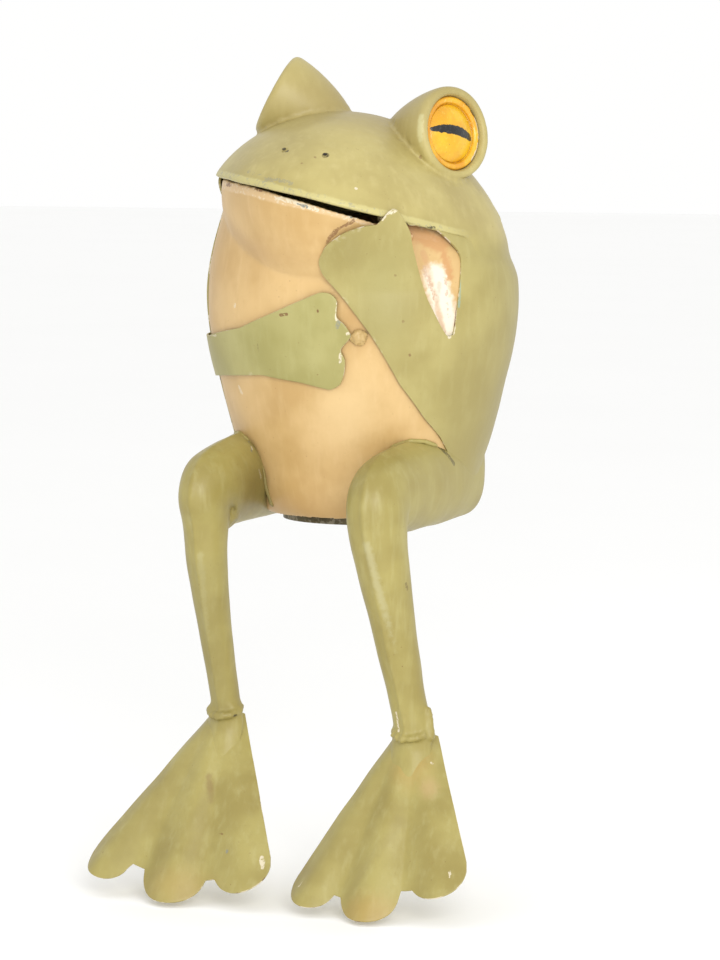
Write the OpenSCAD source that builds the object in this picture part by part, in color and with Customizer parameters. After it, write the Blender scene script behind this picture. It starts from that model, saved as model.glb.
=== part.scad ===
// Painted sheet-metal frog that sits on a shelf edge, legs hanging, one hand under its chin.
// Millimetres. It faces -Y, its own left is +X, and z = 0 is the shelf under its seat.

/* [Body] */
// Half width of the body at its widest
body_half_w = 81; // [78:0.5:84]
// Half depth of the body at its widest
body_half_d = 72; // [68:0.5:76]
// Height of the widest place above the seat
body_mid_h = 118; // [114:1:122]
// Angle from the front to the belly's left seam, in degrees
seam_angle = 59; // [57:0.5:62]
// Thickness of the sheet metal
sheet_t = 0.9; // [0.7:0.1:1.2]

/* [Head] */
// Height of the mouth plane above the seat, on the body's axis
mouth_h = 159; // [157:0.5:161]
// How far the head leans towards the frog's left, in degrees
head_roll = 12; // [9:0.5:13]
// How far the snout is lifted, in degrees
head_pitch = 7; // [5:0.5:8]
// Half width of the head at the mouth plane
head_half_w = 79; // [77:0.5:81]
// From the body's axis forward to the tip of the lip
snout_len = 93; // [90:0.5:96]
// From the body's axis back to the rear of the head
nape_len = 68.5; // [67:0.5:71]
// Height of the crown above the mouth plane
crown_h = 49; // [46:0.5:52]
// How far the eyes and nose sit towards the frog's right of the slanting mouth's middle
head_lean = 3; // [1:0.5:5]
// From the body's axis forward to the middle of the eyes
eye_fore = 19; // [16:0.5:21]
// Diameter of each punched nostril
nostril_d = 3; // [2:0.5:4]

/* [Eyes] */
// Distance of each eye's rim centre from the middle of the head
eye_side = 50; // [49:0.5:52]
// Outer radius of the left eye cup; the right one is a little smaller
eye_cup_r = 24; // [23:0.5:25]
// Length of each eye cup, from its rim to its pointed end
eye_cup_len = 47; // [44:0.5:50]
// Radius of the left eye's yellow dome
eye_dome_r = 15.6; // [14:0.2:16.4]
// How far that dome stands out of its ring
eye_dome_h = 5; // [4:0.5:6]

/* [Legs] */
// Distance of each leg's middle from the middle of the body
leg_side = 47.5; // [46:0.5:49]
// Height of the thigh, which rests on the shelf
thigh_h = 42; // [40:0.5:43]
// From the body's axis forward to the middle of the knee
knee_reach = 82; // [80:0.5:84]
// From the seat down to the ankle
ankle_drop = 97; // [94:1:101]

/* [Feet] */
// Length of each foot, from the ankle to the middle toe
foot_len = 102; // [98:1:106]
// Width of the left foot across its three toes
foot_w = 92; // [86:1:96]
// Thickness of the foot sheet
foot_t = 1.2; // [1:0.1:1.5]

/* [Hidden] */

GREEN = [0.70, 0.66, 0.38];
TAN = [0.88, 0.74, 0.52];
YELLOW = [0.97, 0.76, 0.20];
ORANGE = [0.90, 0.58, 0.10];
METAL = [0.55, 0.52, 0.46];

LEFT = 1;
RIGHT = -1;
LIP_DROP = 1.2;       // height of the turned lip below the head's widest line
RIGHT_SEAM = 72;      // angle from the front to the belly's right seam, behind the right arm

// ---- curves ---------------------------------------------------------------

// Index of the station that x falls after, in a table sorted by its first column
function station(t, x, i = 0) =
    (i >= len(t) - 2 || x < t[i + 1][0]) ? i : station(t, x, i + 1);

// Column k of table t at x, on a smooth curve through the stations
function smooth(t, x, k = 1) =
    let (i = station(t, x),
         a = t[max(i - 1, 0)], b = t[i], c = t[i + 1], d = t[min(i + 2, len(t) - 1)],
         h = c[0] - b[0], s = (x - b[0]) / h,
         m1 = (c[k] - a[k]) / (c[0] - a[0]) * h,
         m2 = (d[k] - b[k]) / (d[0] - b[0]) * h)
    (2 * s^3 - 3 * s^2 + 1) * b[k] + (s^3 - 2 * s^2 + s) * m1
        + (3 * s^2 - 2 * s^3) * c[k] + (s^3 - s^2) * m2;

function mix(a, b, s) = a + (b - a) * s;
function unit(v) = v / norm(v);
function steps(a, b, n) = [for (i = [0 : n]) mix(a, b, i / n)];
function clamp(s) = max(0, min(1, s));
function ease(s) = let (c = clamp(s)) c * c * (3 - 2 * c);

// ---- sheets and solids made from a grid of points --------------------------
// A grid is a list of rows of points. Its outside is where cross(along a row, row to row) points.

function grid_normal(g, j, i, wrap) =
    let (nj = len(g), ni = len(g[0]),
         before = wrap ? (i + ni - 1) % ni : max(i - 1, 0),
         after = wrap ? (i + 1) % ni : min(i + 1, ni - 1))
    unit(cross(g[j][after] - g[j][before], g[min(j + 1, nj - 1)][i] - g[max(j - 1, 0)][i]));

// The grid moved by d along its own normals
function offset_grid(g, d, wrap) =
    [for (j = [0 : len(g) - 1]) [for (i = [0 : len(g[0]) - 1])
        g[j][i] + d * grid_normal(g, j, i, wrap)]];

function flat_list(g) = [for (row = g) each row];
function mean(row) = [for (k = [0 : 2]) sum([for (p = row) p[k]]) / len(row)];
function sum(v, i = 0) = i >= len(v) ? 0 : v[i] + sum(v, i + 1);

// Triangles of a grid's skin, with point numbers starting at base
function skin(nj, ni, wrap, base, flip) =
    [for (j = [0 : nj - 2]) for (i = [0 : (wrap ? ni - 1 : ni - 2)])
        let (p00 = base + j * ni + i, p10 = base + j * ni + (i + 1) % ni,
             p01 = p00 + ni, p11 = p10 + ni)
        each (flip ? [[p00, p11, p01], [p00, p10, p11]] : [[p00, p01, p11], [p00, p11, p10]])];

// Triangles that close the edge from the outer to the inner skin, along pairs of point numbers
function edge_strip(pairs, inner) =
    [for (e = pairs) each [[e[0], e[1], e[1] + inner], [e[0], e[1] + inner, e[0] + inner]]];

// A sheet of thickness t whose outside is grid g. wrap closes each row; cap closes the last row.
module sheet(g, t, wrap = false, cap = false) {
    nj = len(g);
    ni = len(g[0]);
    n = nj * ni;
    inside = offset_grid(g, -t, wrap);
    first = [for (i = [0 : (wrap ? ni - 1 : ni - 2)]) [i, (i + 1) % ni]];
    last = [for (e = first) [(nj - 1) * ni + e[1], (nj - 1) * ni + e[0]]];
    left = [for (j = [0 : nj - 2]) [(j + 1) * ni, j * ni]];
    right = [for (j = [0 : nj - 2]) [j * ni + ni - 1, (j + 1) * ni + ni - 1]];
    points = concat(flat_list(g), flat_list(inside),
                    cap ? [mean(g[nj - 1]), mean(inside[nj - 1])] : []);
    faces = concat(
        skin(nj, ni, wrap, 0, false),
        skin(nj, ni, wrap, n, true),
        edge_strip(first, n),
        cap ? [for (e = last) each [[e[0], e[1], 2 * n], [e[1] + n, e[0] + n, 2 * n + 1]]]
            : edge_strip(last, n),
        wrap ? [] : edge_strip(concat(left, right), n));
    polyhedron(points = points, faces = faces, convexity = 6);
}

// A solid whose side is the closed rows of grid g, with a fan over each end
module solid(g) {
    nj = len(g);
    ni = len(g[0]);
    n = nj * ni;
    top = (nj - 1) * ni;
    points = concat(flat_list(g), [mean(g[0]), mean(g[nj - 1])]);
    faces = concat(
        skin(nj, ni, true, 0, false),
        [for (i = [0 : ni - 1]) [i, (i + 1) % ni, n]],
        [for (i = [0 : ni - 1]) [top + (i + 1) % ni, top + i, n + 1]]);
    polyhedron(points = points, faces = faces, convexity = 6);
}

// Keeps the size of a cut sheet and makes it one skin
module one_skin() {
    resize([0, 0, 0]) children();
}

// ---- body -----------------------------------------------------------------

// Height as a share of body_mid_h, and the body's size there as a share of its widest
BODY = [[-0.01, 0.52], [0.04, 0.64], [0.12, 0.72], [0.25, 0.77], [0.38, 0.83], [0.585, 0.91],
        [0.82, 0.985], [1, 1], [1.18, 0.965], [1.33, 0.905], [1.49, 0.82], [1.61, 0.70]];

function body_share(z) = smooth(BODY, z / body_mid_h);
// A point on the body at an angle from its front, k times as far from its axis as the skin
function on_body(a, z, k = 1) =
    [k * body_half_w * body_share(z) * sin(a), -k * body_half_d * body_share(z) * cos(a), z];
function body_grid(angles, heights, k = 1) =
    [for (z = heights) [for (a = angles) on_body(a, z, k)]];

module body_core(k = 1) {
    solid(body_grid([for (i = [0 : 47]) i * 7.5], steps(0, 186, 24), k));
}

// ---- head -----------------------------------------------------------------

module head_frame() {
    translate([0, 0, mouth_h]) rotate([-head_pitch, head_roll, 0]) children();
}

// A point given in the head's own frame
function from_head(p) =
    let (y = p[1] * cos(head_pitch) + p[2] * sin(head_pitch),
         z = p[2] * cos(head_pitch) - p[1] * sin(head_pitch))
    [p[0] * cos(head_roll) + z * sin(head_roll), y,
     mouth_h + z * cos(head_roll) - p[0] * sin(head_roll)];

// The head's outline in the mouth plane. Its front is drawn out to a blunt snout.
function head_outline(a) =
    [head_half_w * sin(a),
     cos(a) > 0 ? -snout_len * cos(a)^(4 / 3) : -nape_len * cos(a)];

// A point on the head at an angle from the snout and a share r of the way out to the rim
function on_head(a, r) =
    let (o = head_outline(a),
         n = 2.3 - (sin(a) > 0 ? 0.25 * sin(a)^2 : 0) + (cos(a) < 0 ? 0.5 * cos(a)^2 : 0),
         h = max(0, 1 - r^n)^0.8)
    [o[0] * r - 0.7 * head_lean * h, o[1] * r, crown_h * h];

HEAD_COLUMNS = 44;
HEAD_ROWS = [1, 0.985, 0.96, 0.92, 0.87, 0.8, 0.71, 0.6, 0.48, 0.35, 0.22, 0.1, 0.03];
function head_angles() = [for (i = [0 : HEAD_COLUMNS - 1]) i * 360 / HEAD_COLUMNS];

// The turned lip under the rim, then the dome up to the crown
function dome_rows() = [for (r = HEAD_ROWS) [for (a = head_angles()) on_head(a, r)]];
// The outline made k times as large, at a height in the head's frame
function rim_row(k, z) = [for (a = head_angles()) let (o = k * head_outline(a)) [o[0], o[1], z]];
function head_grid() = concat(
    [for (lip = [[0.965, 1], [0.99, 0.9], [1.002, 0.4]]) rim_row(lip[0], -LIP_DROP * lip[1])],
    dome_rows());

module head_core() {
    solid(concat([rim_row(1, -12)], dome_rows()));
}

module nostrils() {
    for (side = [LEFT, RIGHT])
        translate([side * 11 - 1.7 * head_lean, -0.81 * snout_len, 10])
            cylinder(d = nostril_d, h = 30, $fn = 24);
}

module head_cap() {
    color(GREEN) one_skin() head_frame() difference() {
        sheet(head_grid(), sheet_t, wrap = true, cap = true);
        nostrils();
    }
}

// ---- body shells ------------------------------------------------------------

// The shells overlap at their seams by this angle
SEAM_LAP = 2;
// Lower edge of the shells above the seat, and upper edge of the belly behind the jaw
BOTTOM_Z = 3;
BELLY_TOP_Z = 160;

module belly_panel() {
    angles = steps(-RIGHT_SEAM - SEAM_LAP, seam_angle + SEAM_LAP, 28);
    color(TAN) one_skin() difference() {
        sheet(body_grid(angles, steps(BOTTOM_Z, BELLY_TOP_Z, 22)), sheet_t);
        legs_core();
    }
}

// The shell's front edge follows the seam and rounds forward under the head
function back_edge(z) = seam_angle - 1 - 11 * clamp((z - 143) / 11)^2;

// A point of the back at a share s of the way up. Its top FLARE opens out to fill the head's rim.
BACK_K = 1.013;
BACK_TOP_Z = 150;
FLARE = 18;
function on_back(a, s) =
    let (o = 0.985 * head_outline(a), rim = from_head([o[0], o[1], 0.5]),
         z = mix(BOTTOM_Z, rim[2], s))
    on_body(a, z, BACK_K) + ease((z - rim[2]) / FLARE + 1) * (rim - on_body(a, rim[2], BACK_K));

module back_shell() {
    grid = [for (s = steps(0, 1, 20))
        [for (a = steps(back_edge(mix(BOTTOM_Z, BACK_TOP_Z, s)), 361 - RIGHT_SEAM, 28))
            on_back(a, s)]];
    color(GREEN) one_skin() difference() {
        sheet(grid, sheet_t);
        legs_core();
        // the left arm is let into the shell's edge
        cut_outline(arm_front(LEFT_ARM));
    }
}

module lower_jaw() {
    color(TAN) one_skin() difference() {
        head_frame() sheet(jaw_grid(), sheet_t);
        body_core(1.001);
    }
}

// Rows run from deep under the chin up to the lower lip
JAW_ROWS = [0.62, 0.7, 0.77, 0.83, 0.88, 0.92, 0.95, 0.975, 0.99, 1];
JAW_DEPTH = 50;
// The mouth opens from this far on the frog's right side, at this slope
MOUTH_START = -30;
MOUTH_SLOPE = 0.048;
function mouth_gap(x) = 0.3 + MOUTH_SLOPE * max(0, x - MOUTH_START);
function jaw_grid() =
    [for (r = JAW_ROWS) [for (a = steps(-84, 46, 28))
        let (o = 0.945 * head_outline(a))
        [o[0] * r, o[1] * r,
         -LIP_DROP - mouth_gap(o[0]) - JAW_DEPTH * max(0, 1 - r^3.8)^0.7]]];

// A shallow pan that closes the body below; its flat underside is the seat
PAN_RISE = 4.6;
function pan_outline(k) = [for (i = [0 : 47]) let (a = i * 7.5)
    [body_half_w * 0.6 * k * sin(a), -body_half_d * 0.6 * k * cos(a)]];
module seat_plate() {
    color(GREEN) difference() {
        linear_extrude(PAN_RISE) polygon(pan_outline(0.86));
        translate([0, 0, sheet_t]) linear_extrude(PAN_RISE) polygon(pan_outline(0.84));
    }
}

// ---- eyes -----------------------------------------------------------------

// The right eye is smaller and set a little lower
RIGHT_EYE = 0.93;
module eye_frame(side) {
    head_frame() translate([side * eye_side - head_lean, -eye_fore, crown_h - (side == LEFT ? 0 : 1.4)])
        rotate([0, 0, (side == LEFT ? 64 : -71) - 90]) rotate([0, 75, 0])
            scale(side == LEFT ? 1 : RIGHT_EYE) children();
}

// Rolled rim, then half an ellipsoid narrowing to the middle of the head. Rows start in the mouth.
EYE_RIM = [[0.78, -1.6], [0.795, 0.6], [0.86, 1.9], [0.94, 1.5], [0.99, 0]];
EYE_TAPER = 1.6;
function eye_cup_grid(n) = concat(
    [for (p = EYE_RIM) [for (i = [0 : n - 1])
        [eye_cup_r * p[0] * cos(-i * 360 / n), eye_cup_r * p[0] * sin(-i * 360 / n), p[1]]]],
    [for (s = [0.04, 0.15, 0.28, 0.42, 0.56, 0.7, 0.82, 0.91, 0.97, 0.995])
        let (r = eye_cup_r * sqrt(1 - s^EYE_TAPER))
        [for (i = [0 : n - 1]) [r * cos(-i * 360 / n), r * sin(-i * 360 / n), -eye_cup_len * s]]]);

module eye_cup(side) {
    color(GREEN) one_skin() difference() {
        eye_frame(side) sheet(eye_cup_grid(28), sheet_t, wrap = true, cap = true);
        head_core();
    }
}

RING_R = 0.785;
module eye_ring(side) {
    color(ORANGE) eye_frame(side) rotate_extrude($fn = 64)
        polygon([[eye_dome_r - 0.8, -3.2], [RING_R * eye_cup_r, -2.2], [RING_R * eye_cup_r, -0.2],
                 [eye_dome_r + 0.6, -2], [eye_dome_r - 0.8, -2.2]]);
}

// A shallow ball cap, hollow behind
module eye_dome(side) {
    ball_r = (eye_dome_r^2 + eye_dome_h^2) / (2 * eye_dome_h);
    color(YELLOW) eye_frame(side) translate([0, 0, -3.2]) intersection() {
        translate([0, 0, eye_dome_h - ball_r]) difference() {
            sphere(r = ball_r, $fn = 96);
            sphere(r = ball_r - sheet_t, $fn = 96);
        }
        cylinder(r = eye_dome_r - 0.7, h = 2 * eye_dome_h, $fn = 64);
    }
}

// ---- arms -----------------------------------------------------------------

// Cut outlines as [angle from the front, height]. The hand's lobes are the fingers.
LEFT_ARM = [[56, 45], [47.5, 56], [35.5, 74], [24, 99], [15.5, 117], [7.5, 129],
            [6.5, 135.5], [8.5, 140.5], [12.5, 146.5], [17.5, 151], [22.5, 153.5], [26, 154],
            [27.5, 158.5], [30, 161.5], [33, 160.5], [36.5, 155.5],
            [38.5, 144], [41, 131.5], [44.5, 116.5], [49.5, 104], [54.5, 96],
            [62, 93], [70, 80], [74, 60], [72, 33]];
RIGHT_ARM = [[-89, 96], [-54, 95], [-27, 101], [-10.5, 110], [-1, 116], [6.5, 120.5],
             [10, 120], [13, 116.5], [13.5, 112], [12.5, 107.5], [15.5, 104], [18, 98.5],
             [17, 94.5], [13.5, 91.5], [15, 86.5], [15.5, 80], [13, 74], [9, 71], [3, 71.5],
             [-2.5, 74.5], [-19, 77.5], [-40, 76], [-65, 73.5], [-89, 73]];

// How far an arm stands off the body: the left hand lifts away to reach the chin, most of all
// at its second finger, and at its rear edge it is flush with the back
function left_arm_k(a, z) = 1.03
    + 0.3 * (max(0, z - 120) / 42)^1.5 * (1 + 0.45 * ease((28 - a) / 12))
    - 0.017 * clamp((a - 50) / 14);
RIGHT_ARM_K = 1.035;

// An arm's outline as it is seen from the front
function arm_front(outline) =
    [for (p = outline) let (q = on_body(p[0], p[1], left_arm_k(p[0], p[1]))) [q[0], q[2]]];

module cut_outline(outline) {
    rotate([90, 0, 0]) linear_extrude(140)
        offset(r = 1.5) offset(delta = -1.5) polygon(outline);
}

module left_arm() {
    angles = steps(0, 84, 30);
    heights = steps(30, 165, 34);
    grid = [for (z = heights) [for (a = angles) on_body(a, z, left_arm_k(a, z))]];
    color(GREEN) one_skin() intersection() {
        sheet(grid, sheet_t);
        cut_outline(arm_front(LEFT_ARM));
    }
}

module right_arm() {
    angles = steps(-104, 24, 36);
    heights = steps(66, 126, 14);
    outline = concat([[-body_half_w * 1.2, 96], for (p = RIGHT_ARM)
        let (q = on_body(p[0], p[1], RIGHT_ARM_K)) [q[0], q[2]]], [[-body_half_w * 1.2, 73]]);
    color(GREEN) one_skin() intersection() {
        sheet(body_grid(angles, heights, RIGHT_ARM_K), sheet_t);
        translate([0, 40, 0]) cut_outline(outline);
    }
}

// Braze where the middle finger of the right hand meets the belly
module finger_tack() {
    p = on_body(20.5, 98, 1.012);
    color(TAN) translate(p) sphere(r = 3.2, $fn = 32);
}

// Braze that holds the left forefinger under the lip
module chin_tack() {
    p = on_body(28.5, 157, 1.2);
    color(METAL) translate(p) sphere(r = 2.4, $fn = 32);
}

// ---- legs -----------------------------------------------------------------

// The right shank is the slimmer one, and its ankle is a little higher
function slim(side) = side == LEFT ? 1 : 0.8;
ANKLE_SHIFT = 4;

// Along the leg from the hip: share of the way, side step, y, z, half thickness in the leg's
// plane, half width across it
function leg_table(side) = [
    [0, -4, 32, thigh_h / 2 + 2, 18, 11],
    [0.4, -3, 29, thigh_h / 2 + 3, 21.5, 13.5],
    [1, -1, 18, thigh_h / 2 + 4, thigh_h / 2 + 3.5, 16],
    [2, 0.5, -10, thigh_h / 2 + 3, thigh_h / 2 + 3, 17.3],
    [3, 0.5, -40, thigh_h / 2 + 1.5, thigh_h / 2 + 1.5, 16.5],
    [4, -0.5, 10 - knee_reach, thigh_h / 2 - 0.5, thigh_h / 2 - 0.5, 15.4],
    [4.6, -0.3, 1 - knee_reach, thigh_h / 2 - 5, thigh_h / 2 - 1.5, mix(6, 15, slim(side))],
    [5.2, 0, -knee_reach, thigh_h / 2 - 16, 17 * slim(side), 14.4 * slim(side)],
    [6, side == LEFT ? 2.6 : 0, 2 - knee_reach, -18, 13.6 * slim(side), 12.8 * slim(side)],
    [7, side == LEFT ? 6.2 : -0.8, 9 - knee_reach, -53, 11 * slim(side), 10.5 * slim(side)],
    [8, side == LEFT ? 9.8 : -2.5, 15 - knee_reach, 14 - ankle_drop, 9.4 * slim(side),
     9.2 * slim(side)],
    [9, side == LEFT ? 11.6 : -3, 17 - knee_reach,
     -ankle_drop + (side == RIGHT ? ANKLE_SHIFT : 0), 9.4 * slim(side), 9.6 * slim(side)]];

// Each leg's own distance from the middle: the frog sits a little askew
function leg_x(side) = leg_side - 2.5 * side;

LEG_STEPS = [0, 0.4, 1, 1.5, 2, 2.5, 3, 3.5, 4, 4.3, 4.6, 4.9, 5.2, 5.6, 6, 6.5, 7, 7.5, 8, 8.5, 9];

function leg_middle(side, s) = let (t = leg_table(side))
    [side * (leg_x(side) + smooth(t, s, 1)), smooth(t, s, 2), smooth(t, s, 3)];

// One closed section of the leg, at angles from the top and front seam towards the frog's left
function leg_section(side, s, angles, k = 1) =
    let (t = leg_table(side),
         ahead = unit(leg_middle(side, min(9, s + 0.05)) - leg_middle(side, max(0, s - 0.05))),
         out = unit(cross([1, 0, 0], ahead)),
         across = cross(ahead, out))
    [for (a = angles) leg_middle(side, s)
        - out * (k * smooth(t, s, 4)) * cos(a)
        - across * (k * smooth(t, s, 5)) * sin(a)];

function leg_grid(side, angles, k = 1) = [for (s = LEG_STEPS) leg_section(side, s, angles, k)];

module leg_half(side, from, to) {
    color(GREEN) one_skin() difference() {
        sheet(leg_grid(side, steps(from, to, 11)), sheet_t);
        body_core(1.0);
    }
}

// The legs made a little thinner, to cut the shells away inside them
LEG_CORE_K = 0.95;
module legs_core() {
    for (side = [LEFT, RIGHT])
        solid(leg_grid(side, [for (i = [0 : 23]) i * 15], LEG_CORE_K));
}

// ---- feet -----------------------------------------------------------------

// Each foot is a fan of three round toes. Across and behind the ankle: where the fan's rays meet,
// how far the webs reach, and each toe's angle, distance and radius from there.
LEFT_FAN = [-1, 24, [[-18.4, 113.8, 13.3], [-2, 110.6, 15.7], [16.8, 99.2, 15.5]], [115, 107.5]];
RIGHT_FAN = [-1, 17, [[-24.8, 110.5, 13.4], [-4.1, 105.8, 17.8], [16.1, 102.5, 15.6]],
             [108.5, 108.5]];
FOOT_LEN_DRAWN = 102;
FOOT_W_DRAWN = 92;
function fan(side) = side == LEFT ? LEFT_FAN : RIGHT_FAN;

function tangent_angle(toe) = asin(toe[2] / toe[1]);
function toe_reach(toe, a) =
    let (off = toe[1] * sin(a - toe[0]))
    abs(off) < toe[2] ? toe[1] * cos(a - toe[0]) + sqrt(toe[2]^2 - off^2) : 0;
// How far the fan reaches at an angle from straight ahead
function fan_reach(side, a) =
    let (toes = fan(side)[2], webs = fan(side)[3],
         web = a < toes[0][0] || a > toes[2][0] ? 0 : a < toes[1][0] ? webs[0] : webs[1])
    max(web, toe_reach(toes[0], a), toe_reach(toes[1], a), toe_reach(toes[2], a),
        sqrt(min(toes[0][1], toes[2][1])^2 - toes[2][2]^2));

// Angles of the fan's two straight edges
function fan_first(side) = let (toe = fan(side)[2][0]) toe[0] - tangent_angle(toe);
function fan_last(side) = let (toe = fan(side)[2][2]) toe[0] + tangent_angle(toe);

// Folds: a ridge along each toe and a valley along each web, as a table over the angle
WEB_SINK = -4.2;
function folds(side) =
    let (toes = fan(side)[2])
    [[fan_first(side), -9], [toes[0][0], 0], [mix(toes[0][0], toes[1][0], 0.5), WEB_SINK],
     [toes[1][0], 2], [mix(toes[1][0], toes[2][0], 0.45), WEB_SINK], [toes[2][0], 0],
     [fan_last(side), -5]];

module foot(side) {
    f = fan(side);
    first = fan_first(side);
    last = fan_last(side);
    k = foot_len / FOOT_LEN_DRAWN;
    grid = [for (a = steps(first, last, 30)) [for (s = steps(0, 1, 8))
        let (start = f[1] / cos(a),
             reach = mix(start, fan_reach(side, a), s),
             t = 2 * (a - first) / (last - first) - 1,
             up = smooth(folds(side), a) * s^1.3 - 9 * (1 - s) * t^2)
        [(f[0] + reach * sin(a)) * foot_w / FOOT_W_DRAWN, (f[1] - reach * cos(a)) * k, up]]];
    color(GREEN) one_skin()
        translate(leg_middle(side, 9)) rotate([61, 0, -2]) sheet(grid, foot_t);
}

// Rough bead where a foot is welded under its shank
module ankle_weld(side) {
    color(GREEN) translate(leg_middle(side, 9) + [0, -2, -1]) rotate([20, 0, 0])
        rotate_extrude($fn = 48) translate([9.4, 0]) circle(r = 1.8, $fn = 24);
}

// ---- seams ------------------------------------------------------------------

// A round bead of solder along a path
module bead(path, r) {
    last = len(path) - 1;
    solid([for (i = [0 : last])
        let (ahead = unit(path[min(i + 1, last)] - path[max(i - 1, 0)]),
             side = unit(cross(ahead, [0.1, 0.2, 1])),
             lift = cross(side, ahead),
             size = r * (i == 0 || i == last ? 0.5 : 1))
        [for (k = [0 : 9]) path[i] + size * (side * cos(k * 36) - lift * sin(k * 36))]]);
}

// Solder along the joint of a thigh with the belly: angle from the thigh's middle, and height
HIP_JOINT = [[14, 42], [7, 44.5], [0, 45], [-7, 42.5], [-12.5, 35], [-14.5, 27], [-14.5, 18],
             [-13, 8]];
HIP_SHARE = 0.82;     // the body's size there as a share of its widest
function hip_angle(side) = asin(leg_x(side) / (HIP_SHARE * body_half_w));
module hip_bead(side) {
    color(METAL) bead([for (p = HIP_JOINT) on_body(side * (hip_angle(side) + p[0]), p[1], 1.01)],
                      1.3);
}

// Solder that closes the joint of head and back
module neck_bead() {
    color(GREEN) bead([for (a = steps(72, 276, 24))
        let (o = 0.993 * head_outline(a)) from_head([o[0], o[1], -LIP_DROP])], 1.2);
}

head_cap();
back_shell();
belly_panel();
lower_jaw();
seat_plate();
eye_cup(LEFT);  // left_eye_cup
eye_cup(RIGHT);  // right_eye_cup
eye_ring(LEFT);  // left_eye_ring
eye_ring(RIGHT);  // right_eye_ring
eye_dome(LEFT);  // left_eye_dome
eye_dome(RIGHT);  // right_eye_dome
left_arm();
right_arm();
chin_tack();
finger_tack();
leg_half(LEFT, 180, 360);  // left_leg_outer
leg_half(LEFT, 0, 180);  // left_leg_inner
leg_half(RIGHT, 0, 180);  // right_leg_outer
leg_half(RIGHT, 180, 360);  // right_leg_inner
foot(LEFT);  // left_foot
foot(RIGHT);  // right_foot
ankle_weld(LEFT);  // left_ankle_weld
ankle_weld(RIGHT);  // right_ankle_weld
hip_bead(LEFT);  // left_hip_bead
hip_bead(RIGHT);  // right_hip_bead
neck_bead();
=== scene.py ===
"""A painted sheet-metal frog that sits on a shelf edge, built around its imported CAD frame.

Lengths in the code are millimetres in the row frame; MM turns them into metres.
The frog faces -Y and its own left is +X. Angles round the body start at its front.
"""

import math

import bmesh
import bpy
import numpy as np
from mathutils import Matrix, Vector, noise
from mathutils.geometry import delaunay_2d_cdt


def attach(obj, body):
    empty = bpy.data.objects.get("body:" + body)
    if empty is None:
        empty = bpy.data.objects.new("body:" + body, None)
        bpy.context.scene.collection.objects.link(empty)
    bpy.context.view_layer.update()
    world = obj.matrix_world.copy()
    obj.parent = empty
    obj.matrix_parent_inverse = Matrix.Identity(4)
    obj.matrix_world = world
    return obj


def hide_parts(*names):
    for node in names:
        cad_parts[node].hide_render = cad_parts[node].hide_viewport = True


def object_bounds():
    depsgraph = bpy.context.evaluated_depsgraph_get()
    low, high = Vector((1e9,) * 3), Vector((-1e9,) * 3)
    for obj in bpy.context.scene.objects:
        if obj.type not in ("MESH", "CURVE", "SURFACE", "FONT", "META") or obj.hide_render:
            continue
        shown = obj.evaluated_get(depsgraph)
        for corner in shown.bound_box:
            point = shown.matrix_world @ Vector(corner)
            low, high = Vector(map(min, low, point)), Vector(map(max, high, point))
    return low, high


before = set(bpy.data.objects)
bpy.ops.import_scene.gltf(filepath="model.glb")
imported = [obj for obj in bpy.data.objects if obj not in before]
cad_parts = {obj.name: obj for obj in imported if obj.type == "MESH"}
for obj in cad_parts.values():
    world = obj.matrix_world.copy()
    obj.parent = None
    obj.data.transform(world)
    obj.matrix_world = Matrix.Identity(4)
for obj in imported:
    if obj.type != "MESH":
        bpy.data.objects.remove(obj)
cad_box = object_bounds()

MM = 0.001
LEFT, RIGHT = 1, -1
SIDES = ((LEFT, "left"), (RIGHT, "right"))
VOXEL = 0.85


# -- numbers shared with the CAD source --

BODY_HALF_W, BODY_HALF_D, BODY_MID_H = 81, 72, 118
BOTTOM_Z = 3
BODY = [(-0.01, 0.52), (0.04, 0.64), (0.12, 0.72), (0.25, 0.77), (0.38, 0.83), (0.585, 0.91),
        (0.82, 0.985), (1, 1), (1.18, 0.965), (1.33, 0.905), (1.49, 0.82), (1.61, 0.70)]
MOUTH_H, HEAD_ROLL, HEAD_PITCH = 159, 12, 7
HEAD_HALF_W, SNOUT_LEN, NAPE_LEN, CROWN_H, HEAD_LEAN = 79, 93, 68.5, 49, 3
LIP_DROP = 1.2
EYE_SIDE, EYE_FORE, EYE_CUP_R, EYE_CUP_LEN = 50, 19, 24, 47
EYE_DOME_R, EYE_DOME_H = 15.6, 5
RIGHT_EYE = 0.93
EYE_TAPER = 1.6
THIGH_H, KNEE_REACH, ANKLE_DROP, LEG_SIDE = 42, 82, 97, 47.5
BACK_K = 1.013          # the back shell's distance from the axis, as a share of the body's
FLARE = 18              # height over which the back opens out to the head's rim
JAW_DEPTH = 50


def mix(a, b, s):
    return a + (b - a) * s


def clamp(x, low=0.0, high=1.0):
    return max(low, min(high, x))


def ease(x):
    x = clamp(x)
    return x * x * (3 - 2 * x)


def steps(a, b, n):
    return [mix(a, b, i / n) for i in range(n + 1)]


def around(n):
    return steps(0, 360, n)[:-1]


def sin_d(a):
    return math.sin(math.radians(a))


def cos_d(a):
    return math.cos(math.radians(a))


def smooth_at(table, x, k=1):
    """Column k of a table at x, on a smooth curve through its stations."""
    i = 0
    while i < len(table) - 2 and x >= table[i + 1][0]:
        i += 1
    a, b = table[max(i - 1, 0)], table[i]
    c, d = table[i + 1], table[min(i + 2, len(table) - 1)]
    h = c[0] - b[0]
    s = (x - b[0]) / h
    m1 = (c[k] - a[k]) / (c[0] - a[0]) * h
    m2 = (d[k] - b[k]) / (d[0] - b[0]) * h
    return ((2 * s**3 - 3 * s**2 + 1) * b[k] + (s**3 - 2 * s**2 + s) * m1
            + (3 * s**2 - 2 * s**3) * c[k] + (s**3 - s**2) * m2)


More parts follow.
